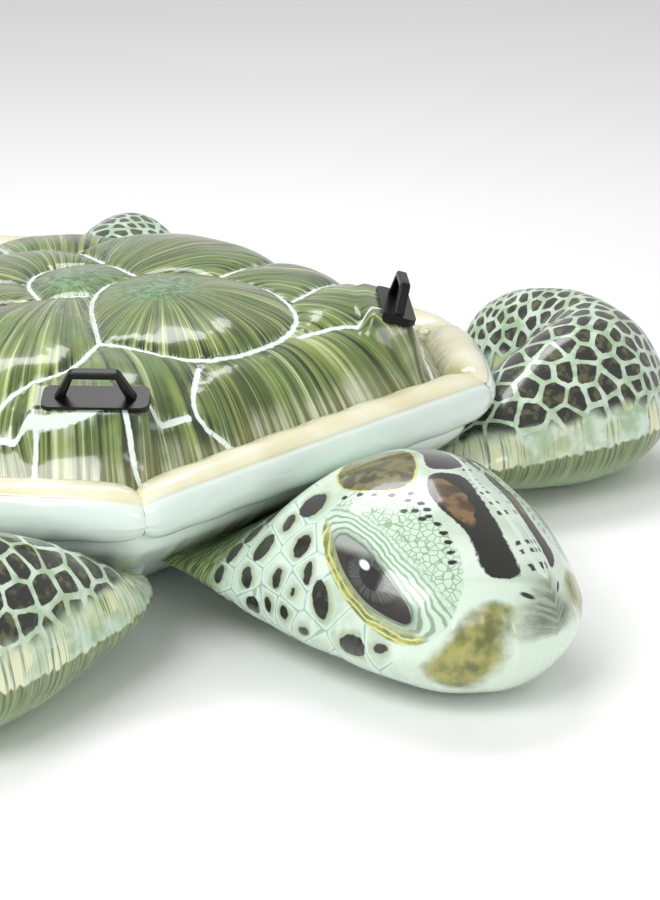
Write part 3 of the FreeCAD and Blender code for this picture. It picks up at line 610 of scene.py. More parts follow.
def membrane(lines, levels=(0.016, 0.008, 0.004), rounds=(250, 160, 110)):
    """How a film held along the creases bulges under pressure, on a plan grid: x, y, height, scute number."""
    x_span, y_span = (-0.576, 0.576), (-0.448, 0.896)
    swell = None
    for size, passes in zip(levels, rounds):
        x = np.arange(x_span[0], x_span[1] + size / 2, size)
        y = np.arange(y_span[0], y_span[1] + size / 2, size)
        gx, gy = np.meshgrid(x, y, indexing="ij")
        flat = np.stack([gx.ravel(), gy.ravel()], 1)
        distance = nearest_crease(flat, lines)[0].reshape(gx.shape)
        free = (distance > size * 0.71) & (inset(gx, gy) > RIM_RADIUS)
        if swell is None:
            swell = np.zeros(gx.shape)
        else:
            swell = sample(swell, old_x, old_y, gx, gy)
        for _ in range(passes):
            around = swell[:-2, 1:-1] + swell[2:, 1:-1] + swell[1:-1, :-2] + swell[1:-1, 2:]
            swell[1:-1, 1:-1] = (around + size * size) / 4
            swell *= free
        old_x, old_y = x, y
    labels = np.where(free, np.arange(1, free.size + 1).reshape(free.shape), 0)
    for _ in range(400):
        before = labels.copy()
        for axis in (0, 1):
            for direction in (1, -1):
                labels = np.where(free, np.maximum(labels, np.roll(labels, direction, axis)), 0)
        if (labels == before).all():
            break
    numbers = np.unique(labels[free])
    labels = np.searchsorted(numbers, labels) * free + free
    for _ in range(4):
        for axis in (0, 1):
            for direction in (1, -1):
                labels = np.where(labels == 0, np.roll(labels, direction, axis), labels)
    return x, y, swell, labels


def sample(values, x, y, at_x, at_y):
    """Bilinear values between the grid's points."""
    u = np.clip((at_x - x[0]) / (x[1] - x[0]), 0, len(x) - 1.001)
    v = np.clip((at_y - y[0]) / (y[1] - y[0]), 0, len(y) - 1.001)
    i, j = u.astype(int), v.astype(int)
    u, v = u - i, v - j
    low = values[i, j] * (1 - v) + values[i, j + 1] * v
    high = values[i + 1, j] * (1 - v) + values[i + 1, j + 1] * v
    return low * (1 - u) + high * u


def handle_seat(x, y):
    """How near each point is to a handle's base plate, 0 to 1, and the plate's height there."""
    weight = np.zeros_like(x)
    height = np.zeros_like(x)
    for side in (1, -1):
        dx, dy = x - side * HANDLE_ACROSS, y - (SHIFT - HANDLE_AHEAD)
        turn = math.pi / 2 - side * HANDLE_TOE
        along = dx * math.cos(turn) + dy * math.sin(turn)
        across = -dx * math.sin(turn) + dy * math.cos(turn)
        plane = HANDLE_HEIGHT + across / math.cos(HANDLE_TILT) * math.sin(side * HANDLE_TILT)
        over = np.maximum(np.abs(along) - PLATE_LENGTH / 2, 0) ** 2
        over = np.sqrt(over + np.maximum(np.abs(across) - PLATE_WIDTH / 2, 0) ** 2)
        near = np.clip(1 - over / 0.03, 0, 1)
        near = near * near * (3 - 2 * near)
        height = np.where(near > weight, plane, height)
        weight = np.maximum(weight, near)
    return weight, height


SWELL_HEIGHT = 0.66
SWELL_POWER = 0.6
PLATE_SHOW = 0.0035


class Shell:
    """The shell's top surface: one height for each place seen from above."""

    def __init__(self):
        self.lines = crease_lines()
        self.x, self.y, self.swell, self.labels = membrane(self.lines)

    def crease(self, x, y):
        return nearest_crease(np.stack([x, y], 1), self.lines)

    def height(self, x, y):
        distance, place, _ = self.crease(x, y)
        depth = inset(x, y)
        base = np.interp(depth, *SHELL_TABLE)
        back = np.clip((y - FALL_START) / (FALL_END - FALL_START), 0, 1)
        base = base - FALL * back * back * (3 - 2 * back) * np.clip((base - 0.262) / 0.10, 0, 1)
        swell = np.maximum(sample(self.swell, self.x, self.y, x, y), 0)
        bulge = SWELL_HEIGHT * swell ** SWELL_POWER * (1 - np.exp(-distance / 0.006))
        pucker = pleats(place, 11) * np.exp(-distance / 0.022) * (1 - np.exp(-distance / 0.005))
        flat = np.stack([x, y], 1)
        z = base + bulge - 0.0022 * pucker + 0.0012 * waves(flat, (0.09, 0.16), 3)
        weight, plate = handle_seat(x, y)
        z = z * (1 - weight) + (plate - PLATE_SHOW) * weight
        beside = np.clip((0.060 - np.abs(x)) / 0.032, 0, 1) * np.clip((y - 0.74) / 0.04, 0, 1)
        return z * (1 - beside) + np.interp(depth, *np.array(VALVE_WALL).T) * beside

    def ray_fields(self, x, y):
        """Directions and distances from each scute's own top, where its print's streaks start."""
        i = np.clip(np.rint((x - self.x[0]) / (self.x[1] - self.x[0])).astype(int), 0, len(self.x) - 1)
        j = np.clip(np.rint((y - self.y[0]) / (self.y[1] - self.y[0])).astype(int), 0, len(self.y) - 1)
        number = self.labels[i, j]
        origin = np.zeros((number.max() + 1, 2))
        for k in range(1, number.max() + 1):
            cells = np.argwhere(self.labels == k)
            if len(cells) == 0:
                continue
            middle = np.array([self.x[cells[:, 0]].mean(), self.y[cells[:, 1]].mean()])
            hub = np.array((0.0, 0.2))
            pull = hub - middle
            far = np.linalg.norm(pull)
            origin[k] = middle + pull / max(far, 1e-6) * min(0.055 + 0.05 * (far > 0.3), far)
        dx, dy = x - origin[number, 0], y - origin[number, 1]
        reach = np.hypot(dx, dy)
        ray = np.stack([dx / np.maximum(reach, 1e-6), dy / np.maximum(reach, 1e-6), number % 17], 1)
        return ray, reach


def make_shell(shell):
    """The printed top panel as a ring grid, finest near the rim, with points pulled onto the creases."""
    around, rings = 800, 122
    turn = np.linspace(0, 2 * math.pi, around, endpoint=False)
    cos, sin = np.cos(turn), np.sin(turn)
    reach = reach_at_inset(cos, sin, 0.022)
    part = np.linspace(0.004, 1, rings) ** 0.93
    x = SHELL_CENTRE[0] + part[:, None] * (cos * reach)[None, :]
    y = SHELL_CENTRE[1] + part[:, None] * (sin * reach)[None, :]
    x, y = x.ravel(), y.ravel()
    distance, _, foot = shell.crease(x, y)
    snap = distance < 0.0024
    snap &= inset(x, y) > 0.05
    x, y = np.where(snap, foot[:, 0], x), np.where(snap, foot[:, 1], y)
    distance = np.where(snap, 0.0, distance)
    z = shell.height(x, y)
    ray, away = shell.ray_fields(x, y)
    points = np.stack([x, y, z], 1)
    quads = grid_quads(rings, around, round_columns=True)[:, ::-1]
    hub = np.array([[SHELL_CENTRE[0], SHELL_CENTRE[1], z[:around].mean()]])
    points = np.concatenate([points, hub])
    cap = np.array([(len(points) - 1, (k + 2) % around, (k + 1) % around, k) for k in range(0, around, 2)])
    fields = {
        "crease": np.append(distance, 0.02), "edge": np.append(inset(x, y), 0.5),
        "ray": np.concatenate([ray, ray[:1]]), "reach": np.append(away, away[0]),
    }
    cap = cap[:, [0, 3, 2, 1]]
    piece = make_piece("shell_skin", points, np.concatenate([quads, cap]), fields, shell_paint())
    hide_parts("shell_top_panel")
    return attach(piece, FLOAT)


# ---------------------------------------------------------------- rim, hull and inner films

RIM_NAMES = ["rim_front_left", "rim_side_left", "rim_rear_left", "rim_rear", "rim_rear_right",
             "rim_side_right",
             "rim_front_right", "rim_front"]


def make_rims():
    """Eight film tubes, each pinched and gathered at the welded mitres it shares with its neighbours."""
    material = rim_paint()
    corners = outline()
    count = len(corners)
    for k, name in enumerate(RIM_NAMES):
        a, b = corners[k], corners[(k + 1) % count]
        before, after = corners[k - 1], corners[(k + 2) % count]
        length = np.linalg.norm(b - a)
        along = (b - a) / length
        out = np.array((along[1], -along[0]))
        bend_a = math.acos(np.clip(along @ (a - before) / np.linalg.norm(a - before), -1, 1)) / 2
        bend_b = math.acos(np.clip(along @ (after - b) / np.linalg.norm(after - b), -1, 1)) / 2
        rows, columns = max(int(length / 0.0035), 60), 120
        t = np.linspace(0, 1, rows)[:, None]
        turn = np.linspace(0, 2 * math.pi, columns, endpoint=False)[None, :]
        from_a, from_b = t * length, (1 - t) * length
        near = np.minimum(from_a, from_b)
        swell = 1 - 0.30 * np.exp(-near / 0.016) + 0.03 * np.sin(math.pi * t)
        gather = pleats(turn * RIM_RADIUS + 0.3 * k, 40 + k, (0.013, 0.024)) * np.exp(-near / 0.030)
        seam = 0.0018 * np.exp(-((turn - 0.72) / 0.05) ** 2)
        radius = RIM_RADIUS * swell * (1 - 0.028 * gather) - seam
        radius = radius + 0.0008 * np.sin(from_a * 60 + 3 * turn) * np.sin(turn * 2 + k)
        sideways = np.cos(turn) * radius
        height = np.sin(turn) * radius
        mitre = math.tan(bend_a) * np.exp(-from_a / 0.05), math.tan(bend_b) * np.exp(-from_b / 0.05)
        shift = -sideways * mitre[0] + sideways * mitre[1]
        bow = 0.004 * np.sin(math.pi * t)
        lengthwise = from_a + shift
        x = a[0] + along[0] * lengthwise + out[0] * (sideways + bow)
        y = a[1] + along[1] * lengthwise + out[1] * (sideways + bow)
        z = RIM_HEIGHT + height + 0.003 * np.sin(math.pi * t)
        points = np.stack([x, y, z], 2).reshape(-1, 3)
        wide = np.broadcast_to(turn, x.shape)
        fields = {
            "turn": np.minimum(wide, np.abs(2 * math.pi - wide)).ravel() * np.where(wide > math.pi, -1,
                                                                                    1).ravel(),
            "along": np.broadcast_to(from_a, x.shape).ravel() + k,
            "corner": np.broadcast_to(np.exp(-near / 0.09) * (k == 0), x.shape).ravel(),
        }
        piece = make_piece(f"{name}_tube", points, grid_quads(rows, columns, round_columns=True)[:, ::-1],
                           fields, material)
        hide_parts(name)
        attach(piece, FLOAT)


# The hull's profile from inside the rim tube round to the belly: (inset, height).
HULL_KNOTS = [(0.020, 0.232), (0.003, 0.214), (-0.001, 0.196), (0.004, 0.176), (0.022, 0.158), (0.050, 0.135),
              (0.085, 0.108), (0.125, 0.076), (0.165, 0.046), (0.210, 0.020), (0.255, 0.004), (0.300, 0.001)]


def hull_height(depth):
    return through(*np.array(HULL_KNOTS[3:]).T, np.clip(depth, 0.004, 0.300))


def reach_at_inset(cos, sin, depth):
    """How far from the shell's centre each direction comes to that inset from the rim's centre line."""
    low, high = np.zeros(len(cos)), np.full(len(cos), 1.3)
    for _ in range(26):
        reach = (low + high) / 2
        inside = inset(SHELL_CENTRE[0] + cos * reach, SHELL_CENTRE[1] + sin * reach) > depth
        low, high = np.where(inside, reach, low), np.where(inside, high, reach)
    return reach


def make_hull():
    """The pale bottom panel, from under the rim round the belly, as one ring grid."""
    around = 640
    turn = np.linspace(0, 2 * math.pi, around, endpoint=False)
    cos, sin = np.cos(turn), np.sin(turn)
    profile = rounded(HULL_KNOTS, closed=False, rounds=3)
    rings = [(reach_at_inset(cos, sin, depth), depth, height) for depth, height in profile]
    inner = rings[-1][0]
    rings += [(inner * part, 0.4, 0.001) for part in (0.8, 0.6, 0.4, 0.2, 0.02)]
    reach = np.array([ring[0] for ring in rings])
    depth = np.array([ring[1] for ring in rings])[:, None]
    x, y = SHELL_CENTRE[0] + reach * cos, SHELL_CENTRE[1] + reach * sin
    gather = pleats(np.broadcast_to(turn * 0.6, x.shape), 70, (0.030, 0.055, 0.083))
    bumps = 0.0035 * gather * np.exp(-((depth - 0.040) / 0.035) ** 2)
    z = np.maximum(np.array([ring[2] for ring in rings])[:, None] + bumps, 0.001)
    points = np.concatenate([np.stack([x, y, z], 2).reshape(-1, 3), [[*SHELL_CENTRE, 0.001]]])
    quads = grid_quads(len(rings), around, round_columns=True)
    last = (len(rings) - 1) * around
    cap = np.array([(len(points) - 1, last + k, last + k + 1, last + (k + 2) % around) for k in range(0,
            around, 2)])
    piece = make_piece("hull_skin", points, np.concatenate([quads, cap]), None, hull_paint())
    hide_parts("hull_bottom_panel")
    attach(piece, FLOAT)


def make_baffles(shell):
    """Thin inner films from the belly up to the underside of the shell, with round air passages."""
    material = inner_paint()
    for name in ("baffle_front", "baffle_middle", "baffle_back", "baffle_rear", "side_baffles_left",
                 "side_baffles_right"):
        low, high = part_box(name)
        middle = (low + high) / 2
        crosswise = high.x - low.x > high.y - low.y
        span = (low.x, high.x) if crosswise else (low.y, high.y)
        columns, rows = int((span[1] - span[0]) / 0.006), 50
        u = np.linspace(span[0], span[1], columns)
        x, y = (u, np.full(columns, middle.y)) if crosswise else (np.full(columns, middle.x), u)
        top = shell.height(x, y) - 0.006
        bottom = hull_height(inset(x, y)) + 0.006
        v = np.linspace(0, 1, rows)[:, None]
        z = bottom * (1 - v) + top * v
        across = 0.003 * np.sin(u * 34) * np.sin(math.pi * v)
        grid_x = np.broadcast_to(x, z.shape) + (0 if crosswise else across)
        grid_y = np.broadcast_to(y, z.shape) + (across if crosswise else 0)
        flat = np.stack([np.broadcast_to(u, z.shape).ravel(), z.ravel()], 1)
        quads = grid_quads(rows, columns)
        centres = flat[quads].mean(1)
        keep = np.ones(len(quads), bool)
        for hole in np.linspace(span[0], span[1], 7)[1:-1:2]:
            keep &= np.linalg.norm(centres - (hole, 0.18), axis=1) > 0.04
        points = np.stack([grid_x, grid_y, z], 2).reshape(-1, 3)
        piece = make_piece(f"{name}_film", points, quads[keep], None, material)
        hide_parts(name)
        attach(piece, FLOAT)


# ---------------------------------------------------------------- limbs

# Cross-sections as in the frame, in millimetres: (distance from the root and place along the root line of the
# chord's near end, the same of its far end, rise above the seam, depth below it).
HEAD = [
    (0, -266, 0, 266, 4, 4),
    (25, -267, 25, 264, 12, 10),
    (50, -268, 50, 261, 32, 26),
    (75, -269, 75, 258, 52, 46),
    (100, -271, 100, 254, 70, 62),
    (150, -275, 150, 247, 110, 86),
    (220, -281, 220, 236, 168, 102),
    (340, -286, 340, 208, 196, 110),
    (440, -280, 440, 170, 180, 110),
    (520, -256, 520, 124, 146, 106),
    (575, -216, 575, 80, 108, 92),
    (610, -164, 610, 36, 66, 66),
    (632, -110, 632, -8, 27, 30),
    (636, -56, 636, -52, 0, 0),
]
FRONT_FLIPPER = [
    (0, -125, 0, 130, 4, 4),
    (25, -140, 25, 133, 12, 10),
    (50, -150, 50, 136, 30, 26),
    (75, -156, 75, 139, 50, 44),
    (100, -158, 100, 142, 68, 60),
    (150, -152, 140, 148, 104, 78),
    (289, -97, 185, 156, 160, 98),
    (367, -58, 211, 180, 182, 108),
    (459, 11, 228, 201, 192, 110),
    (507, 123, 221, 229, 194, 110),
    (481, 249, 200, 263, 190, 108),
    (413, 361, 172, 311, 174, 98),
    (330, 448, 152, 378, 134, 80),
    (247, 489, 167, 436, 52, 36),
    (194, 483, 183, 474, 0, 0),
]
REAR_FLIPPER = [
    (0, -125, 0, 115, 4, 4),
    (25, -134, 25, 122, 12, 10),
    (50, -142, 50, 126, 30, 26),
    (75, -149, 75, 129, 50, 44),
    (100, -155, 100, 131, 68, 60),
    (170, -166, 170, 134, 116, 88),
    (260, -170, 260, 132, 158, 108),
    (350, -162, 350, 122, 166, 110),
    (430, -138, 430, 100, 140, 100),
    (480, -100, 480, 70, 98, 76),
    (508, -50, 508, 34, 42, 36),
    (516, -6, 516, -4, 0, 0),
]
BELLY = 0.6


class Limb:
    """A limb's top and bottom panels as grids: rows from the root to the tip, columns from seam to seam."""

    def __init__(self, start, end, sections, mirrored, rows, columns):
        start, end = np.asarray(start, float), np.asarray(end, float)
        self.along = (end - start) / np.linalg.norm(end - start)
        self.away = np.array((self.along[1], -self.along[0]))
        self.middle = (start + end) / 2 - self.away * ROOT_INSET
        table = np.array(sections, float) / 1000
        centre = np.stack([table[:, 0] + table[:, 2], table[:, 1] + table[:, 3]], 1) / 2
        steps = np.linalg.norm(np.diff(centre, axis=0), axis=1) + 0.001
        stations = np.concatenate([[0], np.cumsum(steps)])
        part = np.linspace(0, 1, rows)
        self.station = stations[-1] * (1 - (1 - part) ** 1.25)
        self.section = [through(stations, table[:, k], self.station) for k in range(6)]
        self.across = np.sin(np.linspace(-math.pi / 2, math.pi / 2, columns))
        near = self.middle + np.outer(self.section[0], self.away) + np.outer(self.section[1], self.along)
        far = self.middle + np.outer(self.section[2], self.away) + np.outer(self.section[3], self.along)
        c = self.across[None, :, None]
        flat = near[:, None] * (1 - c) / 2 + far[:, None] * (1 + c) / 2
        crown = np.clip(1 - self.across ** 2, 0, 1) ** BELLY
        rise = SEAM_HEIGHT + self.section[4][:, None] * crown
        depth = SEAM_HEIGHT - self.section[5][:, None] * crown
        self.mirrored = mirrored
        flip = np.array((-1.0, 1.0, 1.0)) if mirrored else np.ones(3)
        self.top = np.dstack([flat, rise]) * flip
        self.bottom = np.dstack([flat, depth]) * flip
        self.seam = np.concatenate([near, far[::-1]]) * flip[:2]

    def gathered(self, panel, seed, depth):
        """The panel with the gathers that a welded, curved seam pulls into the film beside it."""
        flat = panel[..., :2].reshape(-1, 2)
        distance, place, _ = nearest_on(flat, self.seam[::8])
        rise = np.abs(panel[..., 2].ravel() - SEAM_HEIGHT)
        reach = np.hypot(distance, rise)
        fold = pleats(place, seed) * np.exp(-reach / 0.030) * (1 - np.exp(-reach / 0.006))
        sway = waves(panel.reshape(-1, 3), (0.11, 0.19), seed + 1) * np.clip(reach / 0.05, 0, 1)
        moved = panel.reshape(-1, 3) + grid_normals(panel).reshape(-1, 3) * self.outward(panel)[:, None] * (
            -depth * fold + 0.0015 * sway)[:, None]
        moved[:, 2] = np.maximum(moved[:, 2], 0.0005)
        return moved.reshape(panel.shape), reach, place

    def outward(self, panel):
        """1 where the grid's normals point out of the limb, -1 where they point into it."""
        normal = grid_normals(panel).reshape(-1, 3)
        up = 1.0 if panel[len(panel) // 2, panel.shape[1] // 2, 2] > SEAM_HEIGHT else -1.0
        return np.full(len(normal), np.sign(normal[:, 2].sum()) * up)

    def quads(self, panel):
        made = grid_quads(panel.shape[0], panel.shape[1])
        return made if self.outward(panel)[0] < 0 else made[:, ::-1]


def scattered(points, spacing, seed, tries=4000):
    """Seeded centres picked from the points so that each keeps its own spacing from the rest."""
    random = np.random.RandomState(seed)
    chosen = np.empty((tries, 3))
    count = 0
    for k in random.randint(0, len(points), tries):
        gap = chosen[:count] - points[k]
        if count == 0 or (gap * gap).sum(1).min() > spacing[k] ** 2:
            chosen[count] = points[k]
            count += 1
    return chosen[:count]


def make_flipper(name, body, limb, material, spacing, seed):
    """Both printed panels of one flipper."""
    for label, panel in (("top", limb.top), ("bottom", limb.bottom)):
        film, reach, place = limb.gathered(panel, seed, 0.0026)
        flat = film.reshape(-1, 3)
        centres = scattered(flat[::7], spacing(limb, panel)[::7], seed)
        edge, owner = nearest_cells(flat, centres)
        luck = np.random.RandomState(seed).uniform(size=len(centres))
        fields = {
            "net": edge, "cell": luck[owner], "place_along": place,
            "height": reach if label == "top" else -reach,
        }
        piece = make_piece(f"{name}_{label}_skin", flat, limb.quads(panel), fields, material)
        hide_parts(f"{name}_{label}_panel")
        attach(piece, body)


def front_spacing(limb, panel):
    """Large cells over the shoulder and the leading edge, small ones at the tip."""
    station = np.broadcast_to(limb.station[:, None] / limb.station[-1], panel.shape[:2]).ravel()
    outer = np.broadcast_to((1 - limb.across)[None, :] / 2, panel.shape[:2]).ravel()
    return np.clip(0.046 - 0.030 * station - 0.012 * outer * station, 0.014, 0.05)


def rear_spacing(limb, panel):
    station = np.broadcast_to(limb.station[:, None] / limb.station[-1], panel.shape[:2]).ravel()
    return 0.030 - 0.010 * station


def make_flippers():
    left = [np.array((x, y + SHIFT)) for x, y in CORNERS]
    front = flipper_paint("front_flipper_print", srgb(0.14, 0.15, 0.12), srgb(0.83, 0.90, 0.83))
    rear = flipper_paint("rear_flipper_print", srgb(0.17, 0.27, 0.19), srgb(0.78, 0.88, 0.80))
    for side, mirrored in (("left", False), ("right", True)):
        limb = Limb(left[0], left[1], FRONT_FLIPPER, mirrored, 320, 200)
        make_flipper(f"front_flipper_{side}", f"front_flipper_{side}", limb, front, front_spacing,
                     21 + mirrored)
        limb = Limb(left[2], left[3], REAR_FLIPPER, mirrored, 220, 180)
        make_flipper(f"rear_flipper_{side}", f"rear_flipper_{side}", limb, rear, rear_spacing, 31 + mirrored)


# The head's print, as outlines on its skin: (distance from the root, length up the skin from the seam).
BROW = [(0.235, 0.255), (0.205, 0.305), (0.210, 0.340), (0.230, 0.370), (0.280, 0.380), (0.340, 0.345),
        (0.378, 0.295), (0.380, 0.268), (0.355, 0.247), (0.313, 0.228), (0.275, 0.230)]
CROWN = [(0.350, 0.350), (0.315, 0.385), (0.240, 0.395), (0.200, 0.440), (0.320, 0.470), (0.380, 0.415),
         (0.395, 0.360), (0.375, 0.330)]
SNOUT = [(0.383, 0.316), (0.398, 0.345), (0.415, 0.365), (0.465, 0.330), (0.525, 0.270), (0.585, 0.180),
         (0.588, 0.150), (0.568, 0.140), (0.530, 0.200), (0.497, 0.236), (0.450, 0.258), (0.415, 0.277)]
PATCH = [(0.393, 0.308), (0.413, 0.328), (0.456, 0.312), (0.490, 0.278), (0.508, 0.240), (0.488, 0.244),
         (0.445, 0.267)]
SOCKET = [(0.304, 0.200), (0.353, 0.228), (0.400, 0.243), (0.453, 0.235), (0.500, 0.206), (0.534, 0.165),
          (0.557, 0.113), (0.565, 0.054), (0.549, 0.025), (0.512, 0.014), (0.455, 0.036), (0.396, 0.070),
          (0.349, 0.107), (0.309, 0.148), (0.297, 0.182)]
CHEEK = [(0.575, 0.066), (0.590, 0.096), (0.607, 0.088), (0.618, 0.044), (0.619, 0.0), (0.602, -0.040),
         (0.567, -0.084), (0.545, -0.050), (0.540, -0.016), (0.560, 0.015), (0.570, 0.038)]
MUZZLE = [(0.600, 0.165), (0.594, 0.230), (0.610, 0.237), (0.640, 0.10), (0.640, 0.0), (0.620, 0.050)]
RIDGE = [(0.200, 0.455), (0.337, 0.440), (0.426, 0.367), (0.482, 0.336), (0.534, 0.290), (0.596, 0.193)]
NOSTRIL = (0.606, 0.118)
# Neck spots: place on the skin, half width, half height, lean in radians.
NECK_SPOTS = [
    (0.140, 0.020, 0.010, 0.015, 0.2), (0.143, 0.062, 0.012, 0.021, 0.1), (0.150, 0.105, 0.013, 0.024, 0.0),
    (0.160, 0.152, 0.015, 0.026, 0.1), (0.175, 0.205, 0.016, 0.024, 0.2), (0.190, 0.258, 0.015, 0.022, 0.3),
    (0.212, 0.088, 0.015, 0.026, -0.3), (0.255, 0.182, 0.022, 0.026, -0.2), (0.235, 0.140, 0.010, 0.016, 0.2),
    (0.290, 0.114, 0.015, 0.020, 0.1), (0.205, 0.036, 0.012, 0.017, 0.6), (0.270, 0.054, 0.009, 0.016, 0.1),
    (0.366, 0.050, 0.015, 0.030, 0.5), (0.327, 0.080, 0.008, 0.018, 0.3), (0.437, -0.002, 0.024, 0.018, 0.2),
    (0.229, -0.002, 0.015, 0.015, 0.5), (0.264, 0.011, 0.007, 0.012, 0.4), (0.300, 0.010, 0.009, 0.011, 0.3),
    (0.341, -0.008, 0.012, 0.008, 0.4), (0.484, 0.006, 0.011, 0.007, 0.3), (0.310, 0.045, 0.004, 0.006, 0.0),
    (0.170, -0.030, 0.010, 0.014, 0.2), (0.300, -0.050, 0.010, 0.012, 0.0),
    (0.250, -0.060, 0.009, 0.012, 0.3),
    (0.390, -0.060, 0.010, 0.010, 0.0), (0.330, -0.110, 0.008, 0.010, 0.0),
    (0.220, -0.120, 0.009, 0.011, 0.0),
]
# The small dark scales over the eyelid.
LID_SPOTS = [(0.307, 0.212), (0.330, 0.226), (0.352, 0.236), (0.376, 0.247), (0.398, 0.262), (0.405, 0.247),
             (0.425, 0.250), (0.440, 0.243), (0.452, 0.232), (0.470, 0.224), (0.486, 0.211), (0.500, 0.196),
             (0.428, 0.232), (0.447, 0.222), (0.415, 0.225), (0.512, 0.178), (0.523, 0.160)]
EYE = (0.437, 0.104)
EYE_ACROSS = (0.046, 0.002)
EYE_OVER = (-0.0285, 0.0365)
# The open eye between its lids, in iris radii.
ALMOND = [(-1.15, 1.30), (-0.70, 1.40), (0.0, 1.05), (0.50, 0.45), (0.88, -0.40), (1.00, -1.10),
          (0.75, -1.65),
          (0.10, -1.36), (-0.60, -0.85), (-1.12, 0.0), (-1.36, 0.95)]
RIDGE_ACROSS = [(0.0, 0.05), (0.20, 0.40), (0.45, 0.34), (0.64, 0.28)]


def ellipse_distance(points, centre, wide, high, lean):
    """Nearly the distance to an ellipse's edge, below zero inside it."""
    dx, dy = points[:, 0] - centre[0], points[:, 1] - centre[1]
    x = dx * math.cos(lean) + dy * math.sin(lean)
    y = dy * math.cos(lean) - dx * math.sin(lean)
    size = np.hypot(x / wide, y / high)
    return size * (size - 1) / np.maximum(np.hypot(x / wide ** 2, y / high ** 2), 1e-9)


def skin_places(limb, panel, below):
    """Where each point is on the head's print: (distance from the root, length up the skin).
    Both sides are alike.

    The ridge between the sides lies off the middle of the chord, so the far side, which is narrower,
    keeps the near side's lengths beside its seam and draws in towards the ridge.
    """
    steps = np.linalg.norm(np.diff(panel, axis=1), axis=2)
    up = np.concatenate([np.zeros((len(panel), 1)), np.cumsum(steps, axis=1)], 1)
    whole = up[:, -1:]
    ridge_at = through(*np.array(RIDGE_ACROSS).T, limb.station)
    ridge = np.array([np.interp(at, limb.across, row) for at, row in zip(ridge_at, up)])[:, None]
    beyond = whole - up
    far = np.maximum(whole - ridge, 1e-6)
    folded = beyond + (ridge - far) * np.clip(beyond / far, 0, 1) ** 4
    near = up <= ridge
    length = np.where(near, up, folded)
    flat = panel[..., :2].reshape(-1, 2) - limb.middle
    forward = (flat @ limb.away).reshape(length.shape)
    signed = -length if below else length
    return np.stack([forward.ravel(), signed.ravel()], 1), np.where(near, 0.0, 1.0).ravel()


def face_fields(skin):
    """Distances to every marking of the head's print."""
    shapes = {"brow": BROW, "patch": PATCH, "socket": SOCKET, "cheek": CHEEK, "muzzle": MUZZLE}
    fields = {key: signed_distance(skin, rounded(shape, closed=True)) for key, shape in shapes.items()}
    fields["brow_edge"] = fields["brow"] - 0.004
    scales = [signed_distance(skin, rounded(shape, closed=True)) for shape in (CROWN, SNOUT)]
    scales += [ellipse_distance(skin, spot, 0.0055, 0.0045, 0.5) for spot in LID_SPOTS]
    fields["dark"] = np.min(scales, axis=0)
    spots = [ellipse_distance(skin, spot[:2], *spot[2:]) for spot in NECK_SPOTS]
    fields["spot"] = np.min(spots, axis=0)
    centres = np.array([spot[:2] for spot in NECK_SPOTS] + [(0.33, 0.15), (0.24, 0.0), (0.36, -0.03),
                                                            (0.52, -0.03)])
    web = nearest_cells(skin, centres)[0]
    face = np.clip((skin[:, 0] - 0.50) / 0.05, 0, 1) + np.clip((skin[:, 1] - 0.24) / 0.03, 0, 1)
    fields["net"] = web + 0.02 * face
    fields["ridge"] = nearest_on(skin, rounded(RIDGE, closed=False))[0]
    fields["nostril"] = ellipse_distance(skin, NOSTRIL, 0.004, 0.008, 0.6)
    basis = np.array([EYE_ACROSS, EYE_OVER]).T
    gaze = (skin - EYE) @ np.linalg.inv(basis).T
    fields["gaze"] = np.concatenate([gaze, np.zeros((len(gaze), 1))], 1)
    fields["almond"] = signed_distance(gaze, rounded(ALMOND, closed=True)) * 0.045
    fields["lower"] = -gaze[:, 0] * 0.7 - gaze[:, 1] * 0.5 - 0.3
    fields["jaw"] = np.minimum(0.53 - skin[:, 0] - skin[:, 1] * 0.2, 9) + np.clip(skin[:, 1] - 0.10, 0, 1) * 2
    return fields


def make_head():
    """Both printed panels of the head."""
    left = [np.array((x, y + SHIFT)) for x, y in CORNERS]
    limb = Limb(left[0] * (-1, 1), left[0], HEAD, False, 320, 290)
    material = head_paint()
    for label, panel in (("top", limb.top), ("bottom", limb.bottom)):
        skin, side = skin_places(limb, panel, below=label == "bottom")
        film = limb.gathered(panel, 51, 0.0022)[0].reshape(-1, 3)
        fields = face_fields(skin)
        fields["skin"] = np.column_stack([skin, side])
        piece = make_piece(f"head_{label}_skin", film, limb.quads(panel), fields, material)
        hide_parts(f"head_{label}_panel")
        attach(piece, "head")


# ---------------------------------------------------------------- pieces that keep their CAD shape


def finish_cad_nodes():
    """Materials for the handles, valves and root welds, which are shown as the frame has them."""
    black, milky, hull = handle_paint(), valve_paint(), bpy.data.materials["hull_film"]
    for name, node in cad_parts.items():
        material = black if name.startswith("grab_handle") else milky if "_valve_" in name else hull
        if name.startswith("grab_handle") or "_valve_" in name or name.endswith("root_weld"):
            node.data.materials.clear()
            node.data.materials.append(material)


# ---------------------------------------------------------------- floor, light and camera


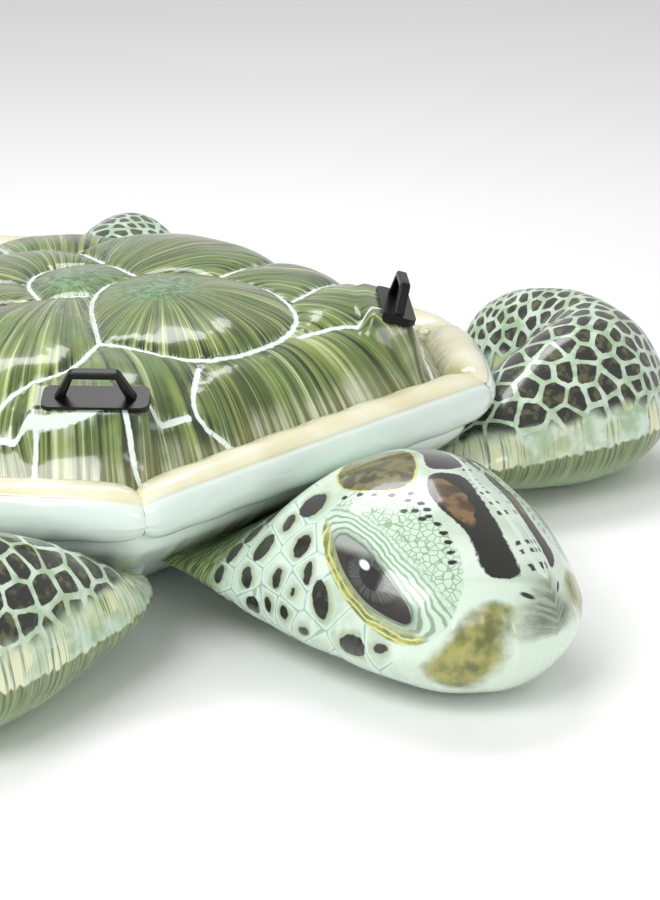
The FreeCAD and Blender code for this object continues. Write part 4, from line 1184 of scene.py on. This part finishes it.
def make_stage():
    """A pale floor that runs out of sight, a bright even sky and soft studio lamps."""
    p = Paint("floor_pale", roughness=0.6, coat=0.0)
    cloud = p.noise(p.place(), 0.6, 2.0)
    material = p.finish(p.mix(cloud, srgb(0.965, 0.965, 0.965), srgb(0.985, 0.985, 0.985)))
    half = 30.0
    corners = np.array([(-half, -half, 0), (half, -half, 0), (half, half, 0), (-half, half, 0)], float)
    floor = make_piece("floor", corners, np.array([(0, 1, 2, 3)]), None, material)
    world = bpy.data.worlds.new("studio")
    bpy.context.scene.world = world
    world.use_nodes = True
    sky = world.node_tree.nodes["Background"]
    sky.inputs["Color"].default_value = (1.0, 1.0, 1.0, 1.0)
    sky.inputs["Strength"].default_value = 0.62
    lamps = [
        ("key", (-2.6, -0.6, 3.0), 2.2, 1.2, 62.0),
        ("top", (0.8, 1.4, 3.4), 3.0, 1.0, 60.0),
        ("fill", (-1.4, -4.2, 1.9), 2.0, 0.7, 22.0),
    ]
    for name, spot, wide, high, power in lamps:
        lamp = bpy.data.lights.new(name, "AREA")
        lamp.shape = "RECTANGLE"
        lamp.size, lamp.size_y, lamp.energy = wide, high, power
        thing = bpy.data.objects.new(name, lamp)
        thing.location = spot
        thing.rotation_euler = (Vector((0, 0, 0.2)) - Vector(spot)).to_track_quat("-Z", "Y").to_euler()
        bpy.context.scene.collection.objects.link(thing)


def make_camera():
    """The photograph's view: from ahead of the turtle's right side, a little above."""
    camera = bpy.data.cameras.new("camera")
    camera.sensor_width = 36.0
    camera.sensor_fit = "VERTICAL"
    camera.sensor_height = 36.0
    camera.lens = 100.1
    thing = bpy.data.objects.new("camera", camera)
    thing.location = (-2.672, -3.061, 1.669)
    thing.rotation_euler = Vector((0.6675, 0.6554, -0.3533)).to_track_quat("-Z", "Y").to_euler()
    bpy.context.scene.collection.objects.link(thing)
    bpy.context.scene.camera = thing
    bpy.context.scene.view_settings.view_transform = "Standard"


shell = Shell()
make_shell(shell)
make_rims()
make_hull()
make_baffles(shell)
make_flippers()
make_head()
finish_cad_nodes()
make_stage()
make_camera()
